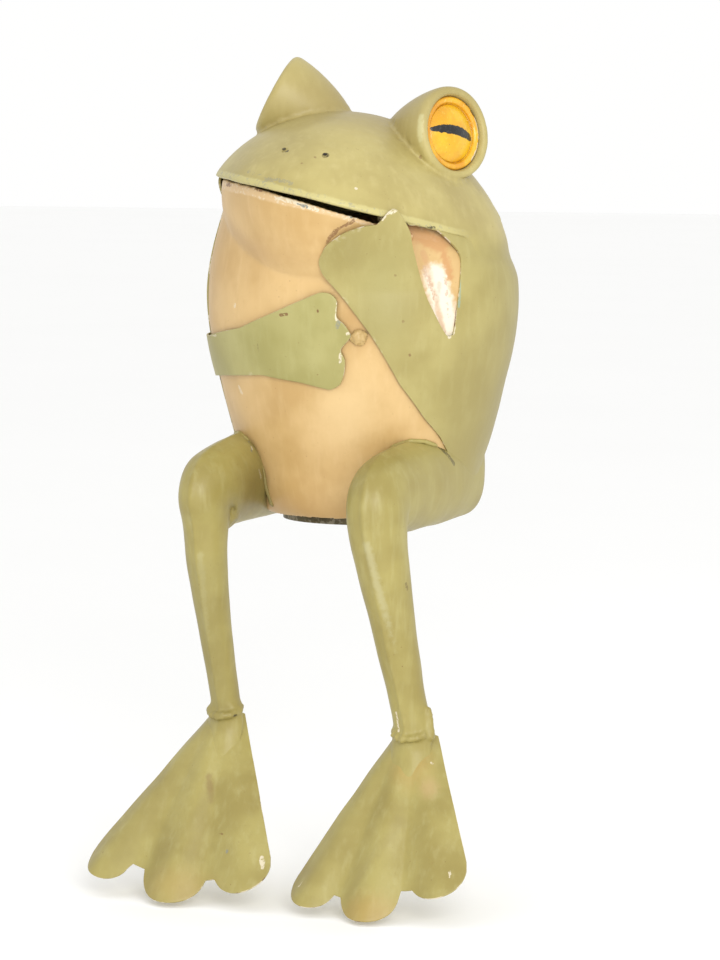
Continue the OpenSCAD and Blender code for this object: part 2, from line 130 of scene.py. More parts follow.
def on_body(a, z, k=1.0):
    share = smooth_at(BODY, z / BODY_MID_H) * k
    return Vector((BODY_HALF_W * share * sin_d(a), -BODY_HALF_D * share * cos_d(a), z))


def turned(a, axis):
    return Matrix.Rotation(math.radians(a), 4, axis)


HEAD = Matrix.Translation((0, 0, MOUTH_H)) @ turned(HEAD_ROLL, "Y") @ turned(-HEAD_PITCH, "X")
RIM_K = 0.985           # the back's upper edge, as a share of the head's outline


def head_outline(a):
    c = cos_d(a)
    return HEAD_HALF_W * sin_d(a), -SNOUT_LEN * c ** (4 / 3) if c > 0 else -NAPE_LEN * c


def on_head(a, r):
    """A point of the head's skin, in its own frame, a share r of the way out to the rim."""
    x, y = head_outline(a)
    s, c = sin_d(a), cos_d(a)
    n = 2.3 - (0.25 * s * s if s > 0 else 0) + (0.5 * c * c if c < 0 else 0)
    h = max(0.0, 1 - r**n) ** 0.8
    return Vector((x * r - 0.7 * HEAD_LEAN * h, y * r, CROWN_H * h))


def eye_matrix(side):
    drop, turn, size = (0, -26, 1) if side == LEFT else (1.4, -161, RIGHT_EYE)
    return (HEAD @ Matrix.Translation((side * EYE_SIDE - HEAD_LEAN, -EYE_FORE, CROWN_H - drop))
            @ turned(turn, "Z") @ turned(75, "Y") @ Matrix.Scale(size, 4))


def rim_point(a):
    x, y = head_outline(a)
    return HEAD @ Vector((x * RIM_K, y * RIM_K, 0.5))


# -- back shell and left arm: one sheet --

BACK_EDGE = 289         # where the back shell ends on the frog's right side
ARM_EDGE = [(97, 53.7), (104, 53.5), (116, 51), (131, 50), (144, 47), (150, 43), (154, 39),
            (165, 38)]


def left_arm_k(a, z):
    lift = 0.3 * (max(0, z - 120) / 42) ** 1.5 * (1 + 0.45 * ease((28 - a) / 12))
    return 1.03 + lift - 0.017 * clamp((a - 50) / 14)


def on_back(a, z):
    """A point of the back shell, or of the left arm that is one sheet with it."""
    border = float(np.interp(z, [e[0] for e in ARM_EDGE], [e[1] for e in ARM_EDGE]))
    if a < border:
        return on_body(a, z, left_arm_k(a, z))
    rim = rim_point(a)
    low = on_body(a, z, left_arm_k(a, z) if z < 100 else BACK_K)
    flare = ease((z - rim.z) / FLARE + 1)
    return low + flare * (rim - on_body(a, rim.z, BACK_K))


# -- meshes --

def setup(thing, **settings):
    """Sets attributes of a modifier, a node or a data block."""
    for key, value in settings.items():
        setattr(thing, key, value)
    return thing


def add_object(name, data):
    obj = bpy.data.objects.new(name, data)
    bpy.context.scene.collection.objects.link(obj)
    return obj


def new_piece(name, points, faces):
    mesh = bpy.data.meshes.new(name)
    mesh.from_pydata([Vector(p) * MM for p in points], [], faces)
    mesh.update()
    return add_object(name, mesh)


def lofted(rows):
    """Points and faces of a closed solid whose side is rows of rings, with a fan on each end."""
    n, last = len(rows[0]), len(rows) - 1
    points = [p for row in rows for p in row]
    for row in (rows[0], rows[-1]):
        points.append(sum((Vector(p) for p in row), Vector()) / n)
    after = [(i, (i + 1) % n) for i in range(n)]
    faces = [(j + i, j + k, j + n + k, j + n + i)
             for j in range(0, last * n, n) for i, k in after]
    for i, k in after:
        faces += [(k, i, len(points) - 2), (last * n + i, last * n + k, len(points) - 1)]
    return points, faces


def grid_faces(nj, ni):
    """The faces of a grid of nj rows of ni points."""
    return [(a, a + 1, a + ni + 1, a + ni)
            for j in range(nj - 1) for a in range(j * ni, j * ni + ni - 1)]


def sheet_of(rows, thickness):
    """Points and faces of a closed sheet whose outside is an open grid of points."""
    grid = [[Vector(p) for p in row] for row in rows]
    nj, ni = len(grid), len(grid[0])
    inner = []
    for j in range(nj):
        for i in range(ni):
            along = grid[j][min(i + 1, ni - 1)] - grid[j][max(i - 1, 0)]
            up = grid[min(j + 1, nj - 1)][i] - grid[max(j - 1, 0)][i]
            inner.append(grid[j][i] - thickness * along.cross(up).normalized())
    n = nj * ni
    points = [p for row in grid for p in row] + inner
    faces = []
    for quad in grid_faces(nj, ni):
        faces += [quad, tuple(q + n for q in reversed(quad))]
    border = (list(range(ni)) + [j * ni + ni - 1 for j in range(1, nj)]
              + [(nj - 1) * ni + i for i in range(ni - 2, -1, -1)]
              + [j * ni for j in range(nj - 2, 0, -1)])
    for a, b in zip(border, border[1:] + border[:1]):
        faces.append((b, a, a + n, b + n))
    return points, faces


def joined(name, parts):
    """One object of several closed solids, each given as points and faces."""
    points, faces = [], []
    for part_points, part_faces in parts:
        base = len(points)
        points += part_points
        faces += [tuple(i + base for i in f) for f in part_faces]
    return new_piece(name, points, faces)


def settle(obj):
    """Turns an object's modifiers into its own mesh, with outward faces and smooth shading."""
    bpy.context.view_layer.update()
    graph = bpy.context.evaluated_depsgraph_get()
    mesh = bpy.data.meshes.new_from_object(obj.evaluated_get(graph))
    old = obj.data
    obj.modifiers.clear()
    obj.data = mesh
    bpy.data.meshes.remove(old)
    mesh.name = obj.name
    shade_smooth(obj)
    return obj


def shade_smooth(obj):
    obj.data.polygons.foreach_set("use_smooth", [True] * len(obj.data.polygons))
    obj.data.update()


def fuse(obj, voxel, passes):
    """Fuses an object's solids into one skin with soft, painted-over joints."""
    setup(obj.modifiers.new("fuse", "REMESH"), mode="VOXEL", voxel_size=voxel * MM)
    setup(obj.modifiers.new("soften", "SMOOTH"), factor=0.5, iterations=passes)
    return settle(obj)


def dent(obj, amount, size, seed=0.0, where=None):
    """Moves each point along its normal by a smooth field, as a hammer leaves sheet metal."""
    shift = Vector((seed, 2.7 * seed, -1.3 * seed))
    mesh = obj.data
    normals = [v.normal.copy() for v in mesh.vertices]
    for v, normal in zip(mesh.vertices, normals):
        p = v.co / MM
        share = 1.0 if where is None else where(p)
        if share > 0:
            v.co += normal * (amount * share * noise.noise(p / size + shift) * MM)
    mesh.update()


def keep_where(obj, test):
    """Deletes the points of an object that fail a test on their place in millimetres."""
    bm = bmesh.new()
    bm.from_mesh(obj.data)
    gone = [v for v in bm.verts if not test(v.co / MM)]
    bmesh.ops.delete(bm, geom=gone, context="VERTS")
    bm.to_mesh(obj.data)
    bm.free()
    obj.data.update()


def thicken(obj, thickness):
    """Gives a cut sheet its thickness inwards; the cut edge takes the second material."""
    setup(obj.modifiers.new("thickness", "SOLIDIFY"), thickness=thickness * MM, offset=-1,
          use_quality_normals=True, material_offset_rim=1)
    setup(obj.modifiers.new("edge", "BEVEL"), width=0.25 * MM, segments=2, limit_method="ANGLE",
          angle_limit=math.radians(50))
    return settle(obj)


# -- sheets cut to an outline --

DEG = 1.3               # millimetres that a degree round the body stands for in a flat outline
ROUNDING = 3            # smoothing passes that round an outline's corners


def fine_outline(corners, step):
    """A closed outline with a point every step, its corners rounded by smoothing."""
    points = []
    for a, b in zip(corners, corners[1:] + corners[:1]):
        a, b = np.array(a, float), np.array(b, float)
        n = max(1, round(float(np.linalg.norm(b - a)) / step))
        points += [a + (b - a) * i / n for i in range(n)]
    loop = np.array(points)
    for _ in range(ROUNDING):
        loop = 0.5 * loop + 0.25 * (np.roll(loop, 1, 0) + np.roll(loop, -1, 0))
    return loop


def inside(loop, points):
    result = np.zeros(len(points), bool)
    for (x0, y0), (x1, y1) in zip(loop, np.roll(loop, -1, 0)):
        if y0 == y1:
            continue
        across = (y0 > points[:, 1]) != (y1 > points[:, 1])
        cut = x0 + (points[:, 1] - y0) / (y1 - y0) * (x1 - x0)
        result ^= across & (points[:, 0] < cut)
    return result


def cut_sheet(name, corners, spacing, place):
    """A sheet cut to an outline of (angle, height) corners; place puts such a point in space."""
    loop = fine_outline([(a * DEG, z) for a, z in corners], 0.8 * spacing)
    low, high = loop.min(0), loop.max(0)
    grid = np.array([(x, y) for j, y in enumerate(np.arange(low[1], high[1], spacing * 0.87))
                     for x in np.arange(low[0] + (j % 2) * spacing / 2, high[0], spacing)])
    grid = grid[inside(loop, grid)]
    near = np.full(len(grid), np.inf)
    for p in loop:
        near = np.minimum(near, ((grid - p) ** 2).sum(1))
    grid = grid[near > (0.62 * spacing) ** 2]
    flat = [Vector(p) for p in loop] + [Vector(p) for p in grid]
    points, _, faces = delaunay_2d_cdt(flat, [], [list(range(len(loop)))], 1, 1e-4)[:3]
    return new_piece(name, [place(p[0] / DEG, p[1]) for p in points], faces)


# -- head --

def head_solid():
    """The head's dome, closed below by a shallow hollow behind the turned lip."""
    angles = around(120)
    lip = [(0.935, 3.5), (0.945, -0.6), (0.965, -LIP_DROP), (0.99, -0.9 * LIP_DROP),
           (1.002, -0.4 * LIP_DROP)]
    rows = [[HEAD @ Vector((head_outline(a)[0] * k, head_outline(a)[1] * k, z)) for a in angles]
            for k, z in lip]
    for r in [1, 0.993, 0.98, 0.96, 0.935, 0.9, 0.86, 0.81, 0.76, 0.7, 0.63, 0.56, 0.48, 0.4,
              0.32, 0.24, 0.16, 0.1, 0.04]:
        rows.append([HEAD @ on_head(a, r) for a in angles])
    return lofted(rows)


EYE_RIM = [(0.02, -4.2), (0.5, -4.2), (0.765, -4.2), (0.78, -1.6), (0.785, -0.2), (0.8, 1.0),
           (0.83, 1.75), (0.87, 2.0), (0.915, 1.9), (0.955, 1.3), (0.985, 0.3)]


def eye_solid(side):
    """An eye cup: a rolled rim round a shallow mouth, then a long taper into the head."""
    matrix = eye_matrix(side)
    turns = [math.radians(i * 3.75) for i in range(96)]
    profile = [(EYE_CUP_R * r, z) for r, z in EYE_RIM]
    for s in steps(0.03, 0.995, 32):
        profile.append((EYE_CUP_R * math.sqrt(1 - s**EYE_TAPER), -EYE_CUP_LEN * s))
    rows = [[matrix @ Vector((r * math.cos(t), -r * math.sin(t), z)) for t in turns]
            for r, z in profile]
    return lofted(rows)


def eye_seam_share(p):
    """1 where an eye cup meets the head, falling to 0 a few millimetres away."""
    best = 0.0
    for inverse in EYE_INVERSES:
        q = inverse @ p
        s = clamp(-q.z / EYE_CUP_LEN, 0, 0.999)
        off_cup = abs(math.hypot(q.x, q.y) - EYE_CUP_R * math.sqrt(1 - s**EYE_TAPER))
        h = HEAD_INVERSE @ p
        a = math.degrees(math.atan2(h.x, -h.y))
        x, y = head_outline(a)
        r = min(1.0, math.hypot(h.x, h.y) / max(1e-6, math.hypot(x, y)))
        off_head = abs(h.z - on_head(a, r).z)
        best = max(best, ease(1 - off_cup / 5) * ease(1 - off_head / 6))
    return best


HEAD_INVERSE = HEAD.inverted()
EYE_INVERSES = [eye_matrix(side).inverted() for side in (LEFT, RIGHT)]

COLLAR_DROP = 20


def collar_solid():
    """Weld that fairs the head into the back: proud at the rim, running out below it."""
    rows = []
    for t in steps(1, 0, 16):
        row = []
        for a in steps(64, BACK_EDGE - 3, 150):
            rim = rim_point(a)
            out = Vector((sin_d(a), -cos_d(a), 0))
            drop = min(COLLAR_DROP, rim.z - 128) * t
            proud = mix(-1.6, 0.9 - 1.7 * t, ease((a - 62) / 9) * ease((BACK_EDGE - 2 - a) / 8))
            row.append(on_back(a, rim.z - drop) + proud * out)
        rows.append(row)
    return sheet_of(rows, 3.0)


head = joined("head", [head_solid(), eye_solid(LEFT), eye_solid(RIGHT), collar_solid()])
fuse(head, VOXEL, 9)
dent(head, 0.5, 24, 1.0)
dent(head, 0.6, 3.2, 4.0, eye_seam_share)

CROWN_SHIFT = 1.7 * HEAD_LEAN  # how far the crown's features stand to the frog's right
NOSTRIL_D, NOSTRIL_SIDE, NOSTRIL_FORE = 3, 11, 0.81 * SNOUT_LEN
NOSTRIL_LOW, NOSTRIL_HIGH = 8, 34  # over the mouth plane

pits = []  # deep enough to go straight through the snout's skin
for side in (LEFT, RIGHT):
    x, y = side * NOSTRIL_SIDE - CROWN_SHIFT, -NOSTRIL_FORE
    ring = [(x + NOSTRIL_D / 2 * cos_d(t), y + NOSTRIL_D / 2 * sin_d(t))
            for t in range(0, 360, 15)]
    pits.append(lofted([[HEAD @ Vector((px, py, z)) for px, py in ring]
                        for z in (NOSTRIL_LOW, NOSTRIL_HIGH)]))
nostrils = joined("nostril_tool", pits)
setup(head.modifiers.new("nostrils", "BOOLEAN"), operation="DIFFERENCE", solver="EXACT",
      object=nostrils)
settle(head)
bpy.data.objects.remove(nostrils)


# -- body --

MOUTH_START, MOUTH_SLOPE = -30, 0.048
MOUTH_HOLLOW = 13


def body_top(a):
    """Height where the belly's skin ends under the head: low behind the open mouth."""
    hollow = MOUTH_HOLLOW * ease((42 - a) / 10) * ease((a + 92) / 10)
    x, y = head_outline(a)
    return (HEAD @ Vector((0.93 * x, 0.93 * y, 1.5 - hollow))).z


def body_solid():
    angles = [a - 180 for a in around(144)]
    return lofted([[on_body(a, mix(BOTTOM_Z, body_top(a), s)) for a in angles]
                   for s in steps(0, 1, 60)])


def jaw_solid():
    rows = []
    for r in [0.6, 0.66, 0.72, 0.77, 0.815, 0.85, 0.88, 0.905, 0.93, 0.95, 0.965, 0.98, 0.99, 1]:
        row = []
        for a in steps(-84, 46, 90):
            x, y = (0.945 * v for v in head_outline(a))
            gap = 0.3 + MOUTH_SLOPE * max(0, x - MOUTH_START)
            z = -LIP_DROP - gap - JAW_DEPTH * max(0, 1 - r**3.8) ** 0.7
            row.append(HEAD @ Vector((x * r, y * r, z)))
        rows.append(row)
    return sheet_of(rows, 2.0)


BELLY_EDGE = 73         # where the belly panel's side seam lies, in degrees from the front

belly = joined("belly", [body_solid(), jaw_solid()])
fuse(belly, 1.15 * VOXEL, 6)
dent(belly, 0.5, 26, 7.0)
keep_where(belly, lambda p: abs(math.degrees(math.atan2(p.x, -p.y))) < BELLY_EDGE
           and p.z > BOTTOM_Z + 1)

ARM_FRONT = [(68.5, 32.5), (57, 46.5), (48, 56), (36, 74), (24.5, 99.5), (15.5, 116.5),
             (8, 129), (7, 135.5), (9, 140.5), (10.5, 144), (13, 146.5), (15.5, 149.5),
             (18, 151), (22.5, 153.5), (26.5, 154), (28.5, 158.5), (30, 161.5),
             (31.5, 162.5), (33, 160.5), (34.5, 157), (37, 150.5)]
ARM_BACK = [(38, 144), (41, 131.5), (45, 116.5), (50, 104), (53.5, 97.5)]
WINDOW = [(56.5, 98.5), (57.5, 111), (59.5, 126), (61, 137), (60.5, 140), (58.5, 143),
          (56, 147), (52.5, 151.5), (48.5, 154), (41, 153.5)]
RIM_START, FRONT_EDGE = 41.1, 68.7  # where the rim and the front edge of the back begin

back_outline = (ARM_FRONT + ARM_BACK + WINDOW
                + [(a, rim_point(a).z) for a in steps(RIM_START, BACK_EDGE, 120)]
                + [(BACK_EDGE, BOTTOM_Z), (FRONT_EDGE, BOTTOM_Z)])
SHEET_STEP = 1.7
back = cut_sheet("back_and_left_arm", back_outline, SHEET_STEP, on_back)

RIGHT_ARM = [(-104, 95), (-55.5, 95), (-27.5, 101), (-10.5, 110), (7, 120.5), (10.5, 120),
             (13, 116.5), (12.5, 107.5), (15.5, 104.5), (18, 98.5), (13.5, 91.5),
             (15.5, 86.5), (15, 80), (13.5, 74), (9.5, 71), (-2.5, 74.5), (-19.5, 77.5),
             (-65.5, 73.5), (-104, 73)]
RIGHT_ARM_K = 1.035
right_arm = cut_sheet("right_arm", RIGHT_ARM, 0.8 * SHEET_STEP,
                      lambda a, z: on_body(a, z, RIGHT_ARM_K))


# -- legs and feet --

def slim(side):
    return 1 if side == LEFT else 0.8


def leg_table(side):
    left = side == LEFT
    k = slim(side)
    half = THIGH_H / 2
    return [(0, -4, 32, half + 1.5, 20, 11),
            (0.4, -3, 29, half + 3, 21.5, 13.5),
            (1, -1, 18, half + 4, half + 3.5, 16),
            (2, 0.5, -10, half + 3, half + 3, 17.3),
            (3, 0.5, -40, half + 1.5, half + 1.5, 16.5),
            (4, -0.5, 10 - KNEE_REACH, half - 0.5, half - 0.5, 15.4),
            (4.6, -0.3, 1 - KNEE_REACH, half - 5, half - 1.5, mix(6, 15, k)),
            (5.2, 0, -KNEE_REACH, half - 16, 17 * k, 14.4 * k),
            (6, 2.6 if left else 0, 2 - KNEE_REACH, -18, 13.6 * k, 12.8 * k),
            (7, 6.2 if left else -0.8, 9 - KNEE_REACH, -53, 11 * k, 10.5 * k),
            (8, 9.8 if left else -2.5, 15 - KNEE_REACH, 14 - ANKLE_DROP, 9.4 * k, 9.2 * k),
            (9, 11.6 if left else -3, 17 - KNEE_REACH, -ANKLE_DROP + (0 if left else 4),
             9.4 * k, 9.6 * k)]


def leg_side(side):
    """How far out a thigh's middle lies."""
    return LEG_SIDE - 2.5 * side


def leg_middle(side, s):
    table = leg_table(side)
    x = leg_side(side) + smooth_at(table, s, 1)
    return Vector((side * x, smooth_at(table, s, 2), smooth_at(table, s, 3)))


SEAM_RISE, SEAM_WIDTH = 0.9, 6


def leg_section(side, s, angles):
    """A ring round the leg, boxy at the hip; its front and back seams are raised a little."""
    table = leg_table(side)
    power = mix(1, 0.72, ease(1.6 - s))

    def boxy(c):
        return math.copysign(abs(c) ** power, c)

    ahead = (leg_middle(side, min(9, s + 0.05)) - leg_middle(side, max(0, s - 0.05))).normalized()
    out = Vector((1, 0, 0)).cross(ahead).normalized()
    across = ahead.cross(out)
    ring = []
    for a in angles:
        off_seam = min(a % 180, 180 - a % 180)
        rise = SEAM_RISE * math.exp(-((off_seam / SEAM_WIDTH) ** 2))
        ring.append(leg_middle(side, s)
                    - out * (smooth_at(table, s, 4) + rise) * boxy(cos_d(a))
                    - across * (smooth_at(table, s, 5) + rise) * boxy(sin_d(a)))
    return ring


def lump(center, radius, seed):
    """A rough lump of weld metal, as a closed solid."""
    rows = []
    for i in range(1, 10):
        lat = -90 + 18 * i
        row = []
        for j in range(20):
            way = Vector((cos_d(lat) * cos_d(18 * j), cos_d(lat) * sin_d(18 * j), sin_d(lat)))
            size = radius * (1 + 0.35 * noise.noise(way * 1.5 + Vector((seed, 0, 0))))
            row.append(center + way * size)
        rows.append(row)
    return lofted(rows)


def foot_place(side):
    return Matrix.Translation(leg_middle(side, 9)) @ turned(-2, "Z") @ turned(61, "X")


def ankle_skirt(side):
    """The weld that carries the shank over into the top of the foot."""
    place = foot_place(side)
    turns = around(48)
    k = slim(side) ** 0.5
    rows = [leg_section(side, 8.6, turns)]
    for reach, half_w, half_t, up, droop in (
            (1, 10, 8, 1.5, 1.0), (6, 11, 5.6, 0.2, 3.2), (12, 11.5, 3.2, -0.8, 4.4),
            (20, 11.5, 1.5, -1.1, 4.4), (28, 9, 0.5, -1.7, 2.4)):
        rows.append([place @ Vector((-half_w * k * sin_d(a), -reach,
                                     up + half_t * k * cos_d(a) - droop * sin_d(a) ** 2))
                     for a in turns])
    return lofted(rows)


def ankle_lumps(side):
    """The ring of weld lumps where a foot meets its shank."""
    center = leg_middle(side, 9) + Vector((0, -2, -1))
    spread = 8.8 * slim(side) ** 0.5
    lumps = []
    for i in range(15):
        t = i * 24
        way = turned(20, "X") @ Vector((spread * cos_d(t), spread * sin_d(t), 0))
        size = 2.2 + 0.8 * noise.noise(Vector((3.1 * i, side, 5.0)))
        lumps.append(lump(center + way, size, 2.0 * i + side))
    if side == LEFT:
        lumps += [lump(leg_middle(side, 9) + Vector((10.6 - 0.25 * i, -1.5, -3 + 2.6 * i)),
                       2.6 - 0.2 * i, 7.0 * i) for i in range(6)]
    return lumps


def make_leg(side, name):
    angles = around(120)
    rows = [leg_section(side, s, angles) for s in steps(0, 9, 150)]
    knee_pit = leg_middle(side, 4.4) + Vector((0, 10, -10))
    leg = joined(name, [lofted(rows), ankle_skirt(side), lump(knee_pit, 10.5, side)]
                 + ankle_lumps(side))
    fuse(leg, VOXEL, 6)
    dent(leg, 0.45, 17, 3.0 + side)
    return leg


FANS = {LEFT: (-1, 24, ((-18.4, 113.8, 13.3), (-2, 110.6, 15.7), (16.8, 99.2, 15.5)),
               (115, 107.5)),
        RIGHT: (-1, 17, ((-24.8, 110.5, 13.4), (-4.1, 105.8, 17.8), (16.1, 102.5, 15.6)),
                (108.5, 108.5))}


def toe_reach(toe, a):
    off = toe[1] * sin_d(a - toe[0])
    if abs(off) >= toe[2]:
        return 0
    return toe[1] * cos_d(a - toe[0]) + math.sqrt(toe[2] ** 2 - off**2)


def fan_ends(side):
    toes = FANS[side][2]
    tangent = [math.degrees(math.asin(t[2] / t[1])) for t in toes]
    return toes[0][0] - tangent[0], toes[2][0] + tangent[2]


def fan_reach(side, a):
    _, _, toes, webs = FANS[side]
    web = 0
    if toes[0][0] <= a <= toes[2][0]:
        web = webs[0] if a < toes[1][0] else webs[1]
    least = math.sqrt(min(toes[0][1], toes[2][1]) ** 2 - toes[2][2] ** 2)
    return max([web, least] + [toe_reach(toe, a) for toe in toes])


def foot_rows(side):
    """The foot's sheet from ankle to toes: a ridge along each toe, a valley at each web."""
    across, apex, toes, _ = FANS[side]
    first, last = fan_ends(side)
    folds = [(first, -9), (toes[0][0], 0), (mix(toes[0][0], toes[1][0], 0.5), -4.2),
             (toes[1][0], 2), (mix(toes[1][0], toes[2][0], 0.45), -4.2), (toes[2][0], 0),
             (last, -5)]
    place = foot_place(side)
    rows = []
    for a in steps(first, last, 110):
        start, reach = apex / cos_d(a), fan_reach(side, a)
        t = 2 * (a - first) / (last - first) - 1
        row = []
        for s in steps(0, 1, 60):
            far = mix(start, reach, s)
            up = smooth_at(folds, a) * s**1.3 - 9 * (1 - s) * t * t
            up += 0.5 * noise.noise(Vector((far * sin_d(a), far * cos_d(a), 9 * side)) / 15)
            row.append(place @ Vector((across + far * sin_d(a), apex - far * cos_d(a), up)))
        rows.append(row)
    return rows


def make_foot(side, name):
    rows = foot_rows(side)
    return new_piece(name, [p for row in rows for p in row], grid_faces(len(rows), len(rows[0])))


legs = {side: make_leg(side, word + "_leg") for side, word in SIDES}
feet = {side: make_foot(side, word + "_foot_sheet") for side, word in SIDES}


# -- eyes --

def lathe(name, matrix, profile, turns):
    """A closed turned piece, with the eye's own width and height as its UV map."""
    rows = [[matrix @ Vector((r * cos_d(i * 360 / turns), -r * sin_d(i * 360 / turns), z))
             for i in range(turns)] for r, z in profile]
    obj = new_piece(name, *lofted(rows))
    inverse = matrix.inverted()
    layer = obj.data.uv_layers.new(name="eye_plane")
    for loop in obj.data.loops:
        q = inverse @ (obj.data.vertices[loop.vertex_index].co / MM)
        layer.data[loop.index].uv = (0.5 + q.y / 40, 0.5 - q.x / 40)
    shade_smooth(obj)
    return obj


def make_eye(side, word):
    matrix = eye_matrix(side)
    base = EYE_DOME_R - 0.7
    ball = (EYE_DOME_R**2 + EYE_DOME_H**2) / (2 * EYE_DOME_H)
    outer = [(r, -3.2 + EYE_DOME_H - ball + math.sqrt(ball**2 - r * r))
             for r in (base * (1 - i / 25.3) for i in range(26))]
    dome = lathe(word + "_eye_lens", matrix, [(base, -4.0), (base, -3.4)] + outer, 96)
    ring_r = 0.785 * EYE_CUP_R
    middle, thick = (base + ring_r) / 2 + 0.2, (ring_r - base) / 2 - 0.1
    ring = [(base - 0.5, -4.2), (ring_r, -4.2), (ring_r, -2.4)]
    ring += [(middle + thick * cos_d(t), -2.4 + thick * sin_d(t)) for t in range(0, 181, 15)]
    ring.append((base - 0.5, -3.0))
    parts = dome, lathe(word + "_eye_band", matrix, ring, 96)
    for part in parts:
        dent(part, 0.25, 7, 2.0)
    return parts


eyes = {side: make_eye(side, word) for side, word in SIDES}


# -- solder and weld beads --

def resampled(path, step):
    points = [Vector(p) for p in path]
    lengths = [0.0]
    for a, b in zip(points, points[1:]):
        lengths.append(lengths[-1] + (b - a).length)
    count = max(2, round(lengths[-1] / step))
    return [Vector([float(np.interp(lengths[-1] * i / count, lengths, [p[k] for p in points]))
                    for k in range(3)]) for i in range(count + 1)]


def make_bead(name, path, radius, seed):
    """A rippled bead along a path."""
    path = resampled(path, 0.7)
    last = len(path) - 1
    rows = []
    for i, p in enumerate(path):
        ahead = (path[min(i + 2, last)] - path[max(i - 2, 0)]).normalized()
        side = ahead.cross(Vector((0.1, 0.2, 1))).normalized()
        lift = side.cross(ahead)
        ripple = 1 + 0.3 * noise.noise(Vector((0.45 * i, seed, 0)))
        size = radius * ripple * min(1, 0.35 + 0.25 * min(i, last - i))
        rows.append([p + size * (side * cos_d(30 * k) - lift * sin_d(30 * k))
                     for k in range(12)])
    obj = new_piece(name, *lofted(rows))
    shade_smooth(obj)
    return obj


# The joint of a thigh with the belly: angle from the thigh's middle, and height
HIP_JOINT = [(14, 42), (7, 44.5), (0, 45), (-7, 42.5), (-12.5, 35), (-14.5, 27), (-14.5, 18),
             (-13, 8)]
HIP_SHARE = 0.82


def hip_path(side):
    middle = math.degrees(math.asin(leg_side(side) / (HIP_SHARE * BODY_HALF_W)))
    return [on_body(side * (middle + a), z, 1.01) for a, z in HIP_JOINT]


hips = {side: make_bead(word + "_hip_solder", hip_path(side), 1.2, 3.0 * side)
        for side, word in SIDES}


def make_blob(name, center, radius, flat, normal, seed):
    """A flattened lump of braze on a surface."""
    obj = new_piece(name, *lump(Vector(), radius, seed))
    turn = Vector(normal).to_track_quat("Z", "Y").to_matrix().to_4x4()
    obj.data.transform(Matrix.Translation(center * MM) @ turn
                       @ Matrix.Diagonal((1, 1, flat, 1)))
    setup(obj.modifiers.new("round", "SUBSURF"), levels=2, render_levels=2)
    settle(obj)
    dent(obj, 0.4, 1.6, seed)
    return obj


finger_place = on_body(20.5, 98, 1.012)
finger_blob = make_blob("finger_braze", finger_place, 4.3, 0.7,
                        (finger_place.x, finger_place.y, 0), 5.0)
chin_place = on_body(28.5, 157, 1.2)
chin_blob = make_blob("chin_braze", chin_place, 2.6, 0.8, (0.3, -0.8, 0.3), 8.0)


# -- finishes --

STUDIO_LIGHT = 1.32     # how much brighter than its own colour a lit surface looks


def tone(r, g, b):
    """A colour given as the 0-255 display values it has in the studio light."""
    linear = []
    for v in (r, g, b):
        v /= 255
        v = v / 12.92 if v <= 0.04045 else ((v + 0.055) / 1.055) ** 2.4
        linear.append(v / STUDIO_LIGHT)
    return (*linear, 1.0)


